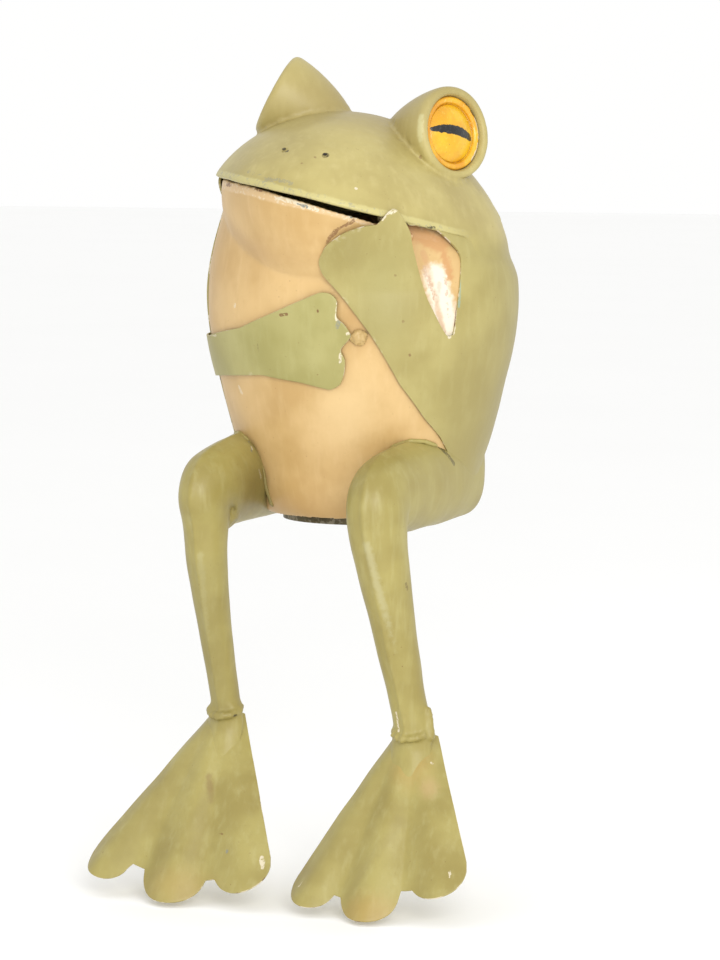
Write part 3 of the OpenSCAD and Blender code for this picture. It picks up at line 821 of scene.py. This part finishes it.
class Finish:
    """One material, built node by node. Its place output is in millimetres."""

    def __init__(self, name):
        self.material = bpy.data.materials.new(name)
        self.material.use_nodes = True
        self.tree = self.material.node_tree
        self.tree.nodes.clear()
        output = self.node("ShaderNodeOutputMaterial")
        self.surface = self.node("ShaderNodeBsdfPrincipled")
        self.fill(output, Surface=self.surface.outputs[0])
        coordinates = self.node("ShaderNodeTexCoord")
        self.uv = coordinates.outputs["UV"]
        self.place = self.vector("MULTIPLY", coordinates.outputs["Object"], (1 / MM,) * 3)

    def node(self, kind, **settings):
        return setup(self.tree.nodes.new(kind), **settings)

    def put(self, socket, value):
        """Links a socket to an output, or gives it a plain value."""
        if isinstance(value, bpy.types.NodeSocket):
            self.tree.links.new(value, socket)
        else:
            socket.default_value = value

    def fill(self, node, **values):
        """Puts values in a node's inputs by name, with _ for a space."""
        for key, value in values.items():
            self.put(node.inputs[key.replace("_", " ")], value)

    def math(self, operation, a, b=0.0, limit=False):
        node = self.node("ShaderNodeMath", operation=operation, use_clamp=limit)
        self.put(node.inputs[0], a)
        self.put(node.inputs[1], b)
        return node.outputs[0]

    def times(self, a, b):
        return self.math("MULTIPLY", a, b)

    def vector(self, operation, *values, output="Vector"):
        node = self.node("ShaderNodeVectorMath", operation=operation)
        for socket, value in zip(node.inputs, values):
            self.put(socket, value)
        return node.outputs[output]

    def split(self, vector):
        node = self.node("ShaderNodeSeparateXYZ")
        self.put(node.inputs[0], vector)
        return node.outputs

    def noise(self, size, detail=3.0, rough=0.55, place=None, output="Fac"):
        node = self.node("ShaderNodeTexNoise")
        self.fill(node, Vector=place or self.place, Scale=1 / size, Detail=detail,
                  Roughness=rough)
        return node.outputs[output]

    def stretched(self, x, y, z):
        """The place, drawn out along each axis so that a noise in it makes strokes."""
        node = self.node("ShaderNodeMapping")
        self.fill(node, Vector=self.place, Rotation=(0.3, 0.2, 0.4), Scale=(1 / x, 1 / y, 1 / z))
        return node.outputs[0]

    def band(self, value, low, high):
        """Rises smoothly from 0 at low to 1 at high."""
        node = self.node("ShaderNodeMapRange", interpolation_type="SMOOTHSTEP")
        self.fill(node, Value=value, From_Min=low, From_Max=high)
        return node.outputs["Result"]

    def blend(self, share, a, b):
        node = self.node("ShaderNodeMix", data_type="RGBA")
        for socket, value in ((0, share), (6, a), (7, b)):
            self.put(node.inputs[socket], value)
        return node.outputs[2]

    def layer(self, color, share, strength=1.0):
        """Lays a colour over what is there, by a share times a strength."""
        self.color = self.blend(self.times(share, strength), self.color, color)

    def openness(self, reach):
        """How open the surface is within a reach: 1 in the open, near 0 in a crack."""
        node = self.node("ShaderNodeAmbientOcclusion", samples=6)
        self.fill(node, Distance=reach * MM)
        return node.outputs["AO"]

    def spots(self, spots, rag=1.6, soft=0.12):
        """1 inside ragged marks. A mark is four numbers, a place and a size; six, a place and
        its sizes along x, y, z; or seven, the two ends of a line and its width.
        soft is how far its edge fades, as a share of its size."""
        wobble = self.vector("SUBTRACT", self.noise(2.2, 4.0, 0.5, output="Color"), (0.5,) * 3)
        moved = self.vector("MULTIPLY_ADD", wobble, (2 * rag,) * 3, self.place)
        result = None
        for mark in spots:
            away = self.vector("SUBTRACT", moved, mark[:3])
            if len(mark) == 7:
                span = Vector(mark[3:6]) - Vector(mark[:3])
                along = self.vector("DOT_PRODUCT", away, span / span.length_squared,
                                    output="Value")
                foot = self.vector("MULTIPLY", self.math("ADD", along, 0.0, True), span)
                away = self.vector("SUBTRACT", away, foot)
            reach = mark[3:] if len(mark) == 6 else mark[-1:] * 3
            far = self.vector("LENGTH", self.vector("DIVIDE", away, reach), output="Value")
            spot = self.band(far, 1 + soft, 1 - soft)
            result = self.math("MAXIMUM", result, spot) if result else spot
        return result

    def coat(self, rough, height, distance, strength=0.5, **others):
        """Gives the surface its colour, roughness, relief in millimetres and other inputs."""
        bump = self.node("ShaderNodeBump")
        self.fill(bump, Height=height, Distance=distance * MM, Strength=strength)
        self.fill(self.surface, Base_Color=self.color, Roughness=rough, Normal=bump.outputs[0],
                  **others)
        return self.material


CREAM, BROWN, STEEL = tone(244, 232, 204), tone(128, 84, 48), tone(142, 146, 140)
# The soot and dirt colours mark real dark joints, cracks and grime, and also serve as painted shade in
# hollows and in the nostril holes.
RUST, SOOT_AND_SHADE, DIRT_AND_SHADE = tone(120, 70, 52), tone(34, 26, 18), tone(104, 84, 44)
PINK = tone(246, 214, 178)
LIP_END = -22           # the lip's worn band fades out this far forward of the body's axis


def paint(name, base, light, dark, marks=(), lip=None, strokes=0.3):
    """Brushed enamel over tin: mottled colour, strokes, a few specks, grime and painted shade in the
    joints and hollows.
    marks are worn places and soft tints, many tints being painted shade or highlight: (colour, share,
    ragged edge, [mark, ...]) and, for a tint, its fade.
    lip is (heights over the mouth plane where it starts and ends, its colour, its wear) and,
    if the paint changes below it, two colours."""
    f = Finish(name)
    wide, fine = f.noise(30, 3.0, 0.5), f.noise(4.5, 5.0, 0.6)
    brushed = f.noise(1.0, 3.0, 0.55, f.stretched(4.0, 4.5, 26.0))
    f.color = f.blend(f.band(wide, 0.32, 0.68), dark, base)
    f.layer(light, f.band(brushed, 0.45, 0.8), strokes)
    f.layer(dark, f.band(fine, 0.52, 0.75), 0.25)
    f.layer(BROWN, f.band(f.noise(1.5, 2.0, 0.5), 0.745, 0.78), 0.6)
    if lip:
        foot, top, lip_color, wear_color, *below = lip
        up = HEAD.to_3x3().col[2]
        height = f.math("SUBTRACT", f.vector("DOT_PRODUCT", f.place, up, output="Value"),
                        HEAD.translation.dot(up))
        if below:
            f.layer(f.blend(f.band(wide, 0.32, 0.68), below[1], below[0]),
                    f.band(height, 9, -7))
        uneven = f.math("ADD", height, f.times(f.noise(6), 2.2))
        edge = f.times(f.band(uneven, top + 1.2, top), f.band(uneven, foot - 0.6, foot + 0.6))
        edge = f.times(edge, f.band(f.split(f.place)[1], LIP_END, LIP_END - 26))
        f.layer(lip_color, edge, 0.6)
        f.layer(wear_color, f.times(edge, f.band(f.noise(2.0, 4.0, 0.65), 0.52, 0.64)), 0.55)
    # Painted shade: hollows and joints found by ambient occlusion darken, in patches, towards the grime
    # colour.
    crevice_shade = f.band(f.openness(6), 0.75, 0.15)
    f.layer(DIRT_AND_SHADE, f.times(crevice_shade, f.band(f.noise(9, 4.0), 0.25, 0.65)), 0.6)
    point = f.node("ShaderNodeNewGeometry").outputs["Pointiness"]
    ridge = f.times(f.band(point, 0.53, 0.6), f.band(f.noise(3.5, 4.0), 0.5, 0.62))
    f.layer(CREAM, ridge, 0.25)
    relief = f.math("ADD", f.times(fine, 0.5), f.times(brushed, 0.5))
    for color, share, rag, places, *soft in marks:
        mark = f.spots(places, rag, *soft)
        if not soft:
            mark = f.times(mark, f.band(f.noise(1.1, 3.0, 0.6), 0.34, 0.5))
            relief = f.math("SUBTRACT", relief, f.times(mark, 0.5 * share))
        f.layer(color, mark, share)
    return f.coat(f.math("ADD", f.times(wide, 0.16), 0.36), relief, 0.35,
                  Specular_IOR_Level=0.4)


def cut_edge(name, base):
    """The worn edge of a painted sheet, where primer and metal show through."""
    f = Finish(name)
    f.color = f.blend(f.band(f.noise(7, 4.0), 0.5, 0.56), base, CREAM)
    f.layer(BROWN, f.band(f.noise(4, 3.0, 0.6, f.stretched(1, 1, 2)), 0.58, 0.64))
    return f.coat(0.5, f.noise(2), 0.2)


def metal(name, base, dark):
    """Old solder: dull metal mottled with dark flux."""
    f = Finish(name)
    patches = f.noise(2.4, 4.0, 0.6)
    f.color = f.blend(f.band(patches, 0.35, 0.65), dark, base)
    return f.coat(f.math("ADD", f.times(patches, 0.3), 0.27), f.noise(0.9), 0.2, 0.6,
                  Metallic=0.6)


# The pupil, as shares of a 40 mm square on the eye's own plane
PUPIL_RISE, PUPIL_HALF, PUPIL_REACH, PUPIL_BOW = 0.025, 0.06, 0.365, 0.3


def pupil_share(f):
    """1 inside the brushed slit across a lens."""
    across, up, _ = f.split(f.uv)
    ragged = f.times(f.math("SUBTRACT", f.noise(2.2), 0.5), 0.05)
    u = f.math("SUBTRACT", across, 0.5)
    v = f.math("ADD", f.math("SUBTRACT", up, 0.5), ragged)
    bow = f.times(f.times(u, u), PUPIL_BOW)
    off = f.math("ABSOLUTE", f.math("ADD", f.math("SUBTRACT", v, PUPIL_RISE), bow))
    taper = f.math("POWER", f.math("ABSOLUTE", f.math("DIVIDE", u, PUPIL_REACH)), 2.5)
    room = f.math("POWER", f.math("SUBTRACT", 1.0, taper, True), 0.5)
    return f.band(f.math("SUBTRACT", f.times(room, PUPIL_HALF), off), -0.004, 0.004)


def eye_paint(name, base, light, dark, marks=(), pupil=False):
    """Glossy eye enamel, with painted shade in its grooves. marks are chips as in paint, or painted
    highlights; pupil adds the brushed black slit.
    """
    f = Finish(name)
    wide, fine = f.noise(14), f.noise(1.6, 4.0, 0.6)
    f.color = f.blend(f.band(wide, 0.35, 0.65), dark, base)
    f.layer(light, f.band(fine, 0.55, 0.7), 0.4)
    f.layer(BROWN, f.band(f.noise(0.9, 2.0), 0.7, 0.75), 0.7)
    # Painted shade: the grooves round the lens and in the band darken towards orange-brown.
    f.layer(tone(150, 84, 20), f.band(f.openness(2), 0.7, 0.3), 0.6)
    if pupil:
        brushed = f.band(f.noise(1.0, 3.0, 0.6, f.stretched(4.0, 1.2, 1.2)), 0.5, 0.68)
        f.layer(f.blend(f.times(brushed, 0.4), tone(12, 12, 12), tone(80, 80, 78)),
                pupil_share(f))
    for color, share, rag, places in marks:
        f.layer(color, f.spots(places, rag), share)
    return f.coat(f.math("ADD", f.times(wide, 0.2), 0.2), f.noise(1.2, 4.0, 0.6), 0.2,
                  Coat_Weight=0.25, Coat_Roughness=0.2)


GREEN = (tone(190, 177, 112), tone(204, 194, 134), tone(174, 160, 96))
HEAD_GREEN = (tone(204, 189, 122), tone(222, 208, 146), tone(186, 170, 106))
ARM_GREEN = (tone(188, 180, 116), tone(200, 194, 134), tone(172, 164, 98))
LEG_GREEN = (tone(184, 171, 101), tone(204, 196, 138), tone(164, 149, 82))
FOOT_SHADE = tone(168, 154, 92)
TAN = (tone(230, 194, 134), tone(246, 213, 160), tone(212, 174, 112))


def head_spot(x, y):
    """A point on the head's skin at x and y of its own frame."""
    a = math.degrees(math.atan2(x, -y))
    ox, oy = head_outline(a)
    r = math.hypot(x, y) / math.hypot(ox, oy)
    return HEAD @ Vector((x, y, on_head(a, r).z))


HEAD_MARKS = (
    # Painted shade: a darker tint over the crown.
    (tone(178, 160, 104), 0.75, 2, [(0, 10, 212, 60, 55, 22)], 0.7),
    (STEEL, 0.4, 2.2, [(-14, -88, 177, 2, -89, 174, 1.1), (16, -84, 171, 28, -80, 169, 0.7),
        (-27, -80, 180, -17, -84, 178, 0.7)]),
    (CREAM, 0.9, 0.4, [(31, -77, 172, 0.8)]),
    # Painted highlight: pale streaks down the front of the left eye cup and beside it.
    (tone(226, 222, 170), 0.5, 1.5, [(47, -36, 190, 47, -34, 208, 1.6),
        (38, -62, 186, 44, -52, 184, 2.2)], 0.5),
    (BROWN, 0.5, 0.6, [(46, -31, 187, 1), (61, -9, 176, 1.2), (3, -80, 184, 0.7), (8, -75, 187, 0.7),
        (37, -66, 186, 1)]),
    # Painted shade: the nostril holes are blackened round their mouths.
    (SOOT_AND_SHADE, 1, 0.2, [(*head_spot(NOSTRIL_SIDE - CROWN_SHIFT, -NOSTRIL_FORE), 1.75)]),
    (SOOT_AND_SHADE, 0.85, 0.5, [(*head_spot(-12.4 - CROWN_SHIFT, -0.8 * SNOUT_LEN),
        *head_spot(-9.6 - CROWN_SHIFT, -0.82 * SNOUT_LEN), 1.1)]),
    (SOOT_AND_SHADE, 0.8, 0.8, [(50, -61, 155, 62, -49, 152, 0.7)]),
)
BACK_MARKS = (
    (CREAM, 0.85, 0.8, [(47, -73, 160.5, 51, -70, 161.5, 1.2), (44, -74, 157, 46, -73, 160, 0.9),
        (69.5, -37, 122, 67.5, -40, 99, 0.8), (66, -42, 98, 1.3)]),
    (tone(150, 178, 160), 0.7, 0.5, [(70.3, -37.4, 126, 69.6, -38, 113, 0.9)]),
    (SOOT_AND_SHADE, 0.9, 0.6, [(56, -36, 47, 60, -20.5, 32.5, 0.8)]),
    (PINK, 0.6, 0.8, [(59, -35, 45, 61.5, -21, 32, 1)]),
    (BROWN, 0.6, 0.6, [(46, -63, 129, 0.8), (49, -60, 106, 0.7), (51, -56, 89, 0.8)]),
    (BROWN, 0.75, 0.9, [(17, -81, 145, 22, -80, 152, 0.8), (22, -80, 152, 31, -79, 156, 0.7)]),
    # Painted shade: the next three darker tints, low by the left hip, on the forearm under the chin and
    # hand, and down the frog's left side.
    (tone(172, 158, 98), 0.6, 3, [(60, -25, 30, 12, 25, 16), (30, -80, 140, 4, 8, 20)], 0.7),
    (tone(166, 152, 94), 0.6, 3, [(66, 4, 64, 30, 34, 44)], 0.8),
    (tone(174, 164, 102), 0.6, 3, [(40, -66, 116, 12, 14, 24)], 0.8),
)
ARM_MARKS = (
    (CREAM, 0.85, 0.9, [(-74, -26, 96, -66, -44, 96, 0.9), (-66, -44, 95.5, -54, -57, 96, 0.5),
        (19.5, -73, 116, 18.5, -73, 107, 0.9), (19.5, -70, 90, 19, -70, 82, 0.7),
        (23.5, -70.5, 100, 1)]),
    (BROWN, 0.8, 0.6, [(-12, -74, 108.5, -8, -74, 109, 0.8), (9, -74, 111, 0.7)]),
    (STEEL, 0.6, 1, [(20, -72, 107, 18.5, -72, 103, 1.1)]),
    (DIRT_AND_SHADE, 0.3, 0.9, [(-26, -69, 100, -27, -69, 86, 0.5)]),
    # Painted shade: a darker tint on the arm's far end, on the frog's right side.
    (tone(166, 156, 92), 0.6, 3, [(-66, -44, 86, 18, 18, 14)], 0.7),
)
BELLY_MARKS = (
    # Painted highlight: a near-white sheen on the lower part of the window under the left arm.
    (tone(254, 244, 224), 0.95, 2.4, [(60, -46, 128, 65, -42, 102, 6.5)], 0.35),
    # Painted shade: a darker tint at the top of the window, under the jaw, and down its back edge.
    (tone(214, 160, 104), 0.8, 2.4, [(50, -52, 151, 62, -42, 144, 4.5),
        (63, -42, 142, 66, -40, 128, 2.2)], 0.45),
    (tone(214, 166, 116), 0.6, 1.2, [(55, -49, 140, 64, -44, 100, 1.6)], 0.6),
    (tone(214, 190, 166), 0.5, 1.6, [(62, -45, 124, 60, -46, 112, 1.4)], 0.5),
    (tone(206, 166, 136), 0.6, 2.6, [(56, -50, 132, 60, -47, 118, 1.5), (64, -42, 126, 65, -41, 108, 1),
        (60, -46, 106, 63, -43, 100, 1.3)]),
    (CREAM, 0.95, 0.8, [(-10, -87.5, 168.2, 4, -88, 164.8, 1.3), (4, -88, 164.8, 14, -86, 161.6, 1.1),
        (28, -79, 158.2, 32, -77, 157.6, 0.8), (20, -73, 112, 20, -73, 102, 1.6)]),
    (STEEL, 0.95, 0.6, [(-7, -88, 167.2, 3, -88.5, 164.8, 0.6), (4, -88.4, 164.6, 9, -87.4, 163, 0.8),
        (29, -78.6, 158, 31, -78, 157.6, 0.5)]),
    (RUST, 0.75, 1, [(-50, -58, 173, -16, -85, 171, 1)]),
    (BROWN, 0.7, 1.2, [(17, -81.5, 145, 22, -80.5, 152, 1.1), (22, -80.5, 152, 30, -78, 156, 0.9)]),
    # Painted shade: darker tints under the jaw, along the belly's bottom, low on the frog's right side
    # and under the left hand.
    (tone(200, 158, 98), 0.5, 3, [(0, -70, 146, 20, 10, 5), (0, -50, 4, 45, 16, 10),
        (-52, -38, 20, 12, 16, 24), (26, -70, 112, 5, 8, 12)], 0.8),
    # Painted highlight: a lighter patch on the front of the belly.
    (tone(246, 214, 158), 0.6, 3, [(20, -62, 60, 16, 12, 18)], 0.8),
    # Painted shade: a darker tint along the crease under the jaw.
    (tone(206, 166, 108), 0.5, 2, [(-46, -58, 150, -24, -72, 140, 5),
        (-24, -72, 140, 14, -75, 139, 4.5)], 0.8),
    (CREAM, 0.55, 0.9, [(-43, -61, 112, 1.1), (-46, -52, 70, -44, -52, 67, 1), (-33, -63, 80, 0.7),
        (-10, -70, 62, 0.6)]),
)
LEFT_LEG_MARKS = (
    (CREAM, 0.8, 0.8, [(32.5, -97, 33, 35, -98, 6, 1), (52, -74.5, -88, 53, -73, -99, 0.6),
        (58, -73.5, -84, 60, -72, -97, 0.5)]),
    (STEEL, 0.7, 0.7, [(33, -98, 24, 33.6, -98, 16, 0.7)]),
    (RUST, 0.8, 0.6, [(50, 1, 2.6, 56, 2, 2.6, 1.3)]),
    (PINK, 0.7, 0.9, [(57.5, -31.5, 44, 63, -24, 33, 1.2)]),
    (SOOT_AND_SHADE, 0.95, 0.5, [(56, -32.5, 44, 61.4, -24.2, 32.4, 1.3)]),
    (DIRT_AND_SHADE, 0.5, 1, [(60, -82, -22, 61, -81, -25, 0.9)]),
    # Painted highlight: a pale line down the front seam of the shank.
    (tone(206, 200, 158), 0.45, 1.5, [(46, -98, -2, 58, -83, -66, 1.8)], 0.7),
    # Painted shade: a darker tint on the thigh's outer side.
    (tone(176, 162, 100), 0.5, 3, [(60, -30, 24, 8, 40, 20)], 0.8),
)
RIGHT_LEG_MARKS = (
    (CREAM, 0.8, 0.9, [(-51, -38, 44, -40, -50, 38, 1.2), (-38, -54, 34, -34, -50, 24, 0.9),
        (-47.6, -80, -74, -46.6, -77, -95, 0.5)]),
    (STEEL, 0.7, 0.8, [(-43, -47, 41, -39, -52, 37, 0.9)]),
    (SOOT_AND_SHADE, 0.8, 0.8, [(-41, -72, -95.5, -37, -70, -97, 0.8)]),
    # Painted highlight: a pale line down the front seam of the shank.
    (tone(200, 192, 140), 0.45, 1.5, [(-48, -92, -12, -49, -80, -74, 1.5)], 0.7),
    # Painted shade: the next three darker tints, down the leg's outer side, along the shank and on the
    # inner thigh under the belly.
    (tone(166, 150, 88), 0.5, 2, [(-58, -90, 30, -58, -78, -60, 3)], 0.8),
    (tone(152, 140, 84), 0.45, 3, [(-50, -86, -20, -52, -74, -92, 9)], 0.8),
    (tone(112, 96, 48), 0.65, 2, [(-35, -52, 16, 8, 26, 17)], 0.8),
)
LEFT_FOOT_MARKS = (
    (tone(196, 162, 92), 0.5, 3, [(60, -74, -113, 9, 8, 12), (54, -112, -182, 16, 8, 9)], 0.8),
    (tone(208, 172, 124), 0.45, 2, [(71, -78, -124, 4, 5, 5)], 0.8),
    (FOOT_SHADE, 0.5, 2.5, [(46, -76, -110, 14, -104, -172, 5.5),
        (60, -88, -140, 38, -108, -178, 3)], 0.8),
    (CREAM, 0.75, 1, [(11, -102, -174, 14, -101, -166, 0.7), (92, -101, -168, 91, -99, -158, 0.8),
        (14, -106, -180, 19, -106, -182, 0.6), (69, -70, -113, 0.8),
        (48, -114, -185.4, 54, -114, -186, 0.6)]),
    (BROWN, 0.5, 1, [(20, -108, -185, 34, -108, -183, 0.9), (60, -113, -185, 70, -111, -180, 0.9),
        (84, -108, -178, 92, -104, -174, 0.9)]),
)
RIGHT_FOOT_MARKS = (
    (RUST, 0.3, 1.6, [(-48, -84, -126, -45, -87, -138, 1.6)], 0.8),
    (FOOT_SHADE, 0.5, 2.5, [(-60, -78, -112, -90, -104, -168, 5.5),
        (-46, -88, -136, -62, -106, -172, 3)], 0.8),
    (tone(190, 162, 96), 0.45, 3, [(-50, -112, -178, 16, 8, 10)], 0.8),
    (CREAM, 0.85, 1.1, [(-9, -102, -168, -10, -101, -161, 1.4), (-18, -106, -175, -12, -105, -173, 0.8),
        (-60, -115, -183, -54, -115, -184, 0.7), (-96, -108, -180, -88, -108, -180, 0.7)]),
    (STEEL, 0.7, 0.8, [(-29, -101, -160, 1.1)]),
    (BROWN, 0.6, 0.9, [(-76, -105, -177, -75, -104, -168, 0.7), (-56, -115, -186, -42, -114, -185, 0.8),
        (-28, -107, -177, -14, -106, -177, 0.8), (-36, -96, -152.5, -34, -96, -152.5, 0.5)]),
)

head_paint = paint("head_enamel", *HEAD_GREEN, HEAD_MARKS,
                   (-1.6, 3.0, tone(222, 212, 146), tone(158, 156, 140), GREEN[0], GREEN[2]))
back_paint = paint("back_enamel", *GREEN, BACK_MARKS)
arm_paint = paint("right_arm_enamel", *ARM_GREEN, ARM_MARKS)
# Painted shade: the seat plate takes a much darker copy of the green, for the shadow under the belly.
shaded_seat_paint = paint("seat_enamel_painted_shade", tone(112, 100, 62), tone(132, 120, 78), tone(84, 72, 42))
belly_paint = paint("belly_enamel", *TAN, BELLY_MARKS, (-5.5, 0.5, tone(240, 207, 160), CREAM),
                    strokes=0.22)
leg_paints = {LEFT: paint("left_leg_enamel", *LEG_GREEN, LEFT_LEG_MARKS),
              RIGHT: paint("right_leg_enamel", *LEG_GREEN, RIGHT_LEG_MARKS)}
foot_paints = {LEFT: paint("left_foot_enamel", *LEG_GREEN, LEFT_FOOT_MARKS),
               RIGHT: paint("right_foot_enamel", *LEG_GREEN, RIGHT_FOOT_MARKS)}
green_edge = cut_edge("green_cut_edge", GREEN[0])
tan_edge = cut_edge("tan_cut_edge", TAN[0])


def on_band(turn):
    """A point on the left eye's ring, turned up from its outer side."""
    r = 0.74 * EYE_CUP_R
    return eye_matrix(LEFT) @ Vector((-r * sin_d(turn), r * cos_d(turn), -1.2))


BAND_MARKS = (
    # Cream streaks on the band's outer side: chips and a painted highlight.
    (CREAM, 0.85, 0.5, [(*on_band(a), *on_band(a + 16), 0.75) for a in (-40, -22, 2, 20)]),
    (SOOT_AND_SHADE, 0.8, 0.5, [(*on_band(a), *on_band(b), w)
                       for a, b, w in ((40, 50, 0.7), (62, 70, 0.6))]),
)
lens_paint = eye_paint("eye_lens_enamel", tone(250, 200, 34), tone(255, 222, 96),
                       tone(238, 174, 20), pupil=True)
band_paint = eye_paint("eye_band_enamel", tone(252, 194, 44), tone(255, 230, 140),
                       tone(232, 158, 26), BAND_MARKS)
solder_metal = metal("solder_finish", tone(176, 160, 120), tone(120, 104, 70))
braze_paint = paint("braze_finish", tone(230, 198, 138), tone(246, 222, 168),
                    tone(204, 172, 112))


def finish_piece(obj, slot, nodes, *materials, thickness=None):
    """Gives a piece its finish, and a cut sheet its thickness, and puts it on the frame."""
    for material in materials:
        obj.data.materials.append(material)
    if thickness:
        dent(obj, 0.5, 22, 5.0)
        thicken(obj, thickness)
    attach(obj, "root")
    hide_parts(*nodes)


finish_piece(head, "green_paint", ("head_cap", "left_eye_cup", "right_eye_cup", "neck_bead"),
             head_paint)
finish_piece(back, "green_paint", ("back_shell", "left_arm"), back_paint, green_edge,
             thickness=1.2)
finish_piece(right_arm, "green_paint", ("right_arm",), arm_paint, green_edge, thickness=1.2)
finish_piece(belly, "tan_paint", ("belly_panel", "lower_jaw"), belly_paint, tan_edge,
             thickness=0.9)
for side, word in SIDES:
    finish_piece(legs[side], "green_paint",
                 (word + "_leg_outer", word + "_leg_inner", word + "_ankle_weld"),
                 leg_paints[side])
    finish_piece(feet[side], "green_paint", (word + "_foot",), foot_paints[side], green_edge,
                 thickness=1.3)
    lens, band = eyes[side]
    finish_piece(lens, "yellow_paint", (word + "_eye_dome",), lens_paint)
    finish_piece(band, "orange_paint", (word + "_eye_ring",), band_paint)
    finish_piece(hips[side], "solder", (word + "_hip_bead",), leg_paints[RIGHT])
finish_piece(finger_blob, "solder", ("finger_tack",), braze_paint)
finish_piece(chin_blob, "solder", ("chin_tack",), solder_metal)
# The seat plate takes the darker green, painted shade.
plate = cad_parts["seat_plate"]
plate.data.materials.clear()
plate.data.materials.append(shaded_seat_paint)


# -- floor, light and camera, in metres --

FLOOR_DROP, FLOOR_HALF = 0.002, 12.0
floor_z = cad_box[0].z - FLOOR_DROP
floor_mesh = bpy.data.meshes.new("floor")
floor_mesh.from_pydata([(x * FLOOR_HALF, y * FLOOR_HALF, floor_z)
                        for x, y in ((-1, -1), (1, -1), (1, 1), (-1, 1))], [], [(0, 1, 2, 3)])
floor = add_object("floor", floor_mesh)
paper = Finish("floor_paper")
paper.fill(paper.surface, Roughness=0.9, Base_Color=paper.blend(
    paper.noise(300), (0.95, 0.95, 0.945, 1), (0.97, 0.97, 0.965, 1)))
floor.data.materials.append(paper.material)

VIEW_AZ, VIEW_EL, VIEW_DISTANCE = 24, 5.8, 1.872
AIM_RIGHT, AIM_UP = -0.00104, 0.01924
to_right = Vector((cos_d(VIEW_AZ), sin_d(VIEW_AZ), 0))
to_eye = Vector((sin_d(VIEW_AZ) * cos_d(VIEW_EL), -cos_d(VIEW_AZ) * cos_d(VIEW_EL),
                 sin_d(VIEW_EL)))
to_top = to_eye.cross(to_right)
camera = add_object("camera", setup(bpy.data.cameras.new("camera"), lens=135, sensor_width=36,
                                    sensor_fit="AUTO"))
eye_place = to_eye * VIEW_DISTANCE + to_right * AIM_RIGHT + to_top * AIM_UP
camera.matrix_world = Matrix.Translation(eye_place) @ Matrix(
    (to_right, to_top, to_eye)).transposed().to_4x4()
bpy.context.scene.camera = camera

KEY_BACK, KEY_RIGHT, KEY_UP, KEY_AIM = 1.6, 0.25, 0.35, Vector((0, 0, 0.03))
key = add_object("key", setup(bpy.data.lights.new("key", "AREA"), energy=15, size=0.7,
                              color=(1, 0.99, 0.965)))
key.location = to_eye * KEY_BACK + to_right * KEY_RIGHT + to_top * KEY_UP
key.rotation_euler = (key.location - KEY_AIM).to_track_quat("Z", "Y").to_euler()

world = bpy.data.worlds.new("studio")
world.use_nodes = True
sky = world.node_tree.nodes["Background"]
sky.inputs["Color"].default_value = (1, 1, 0.995, 1)
sky.inputs["Strength"].default_value = 1.0
bpy.context.scene.world = world
bpy.context.scene.view_settings.view_transform = "Standard"
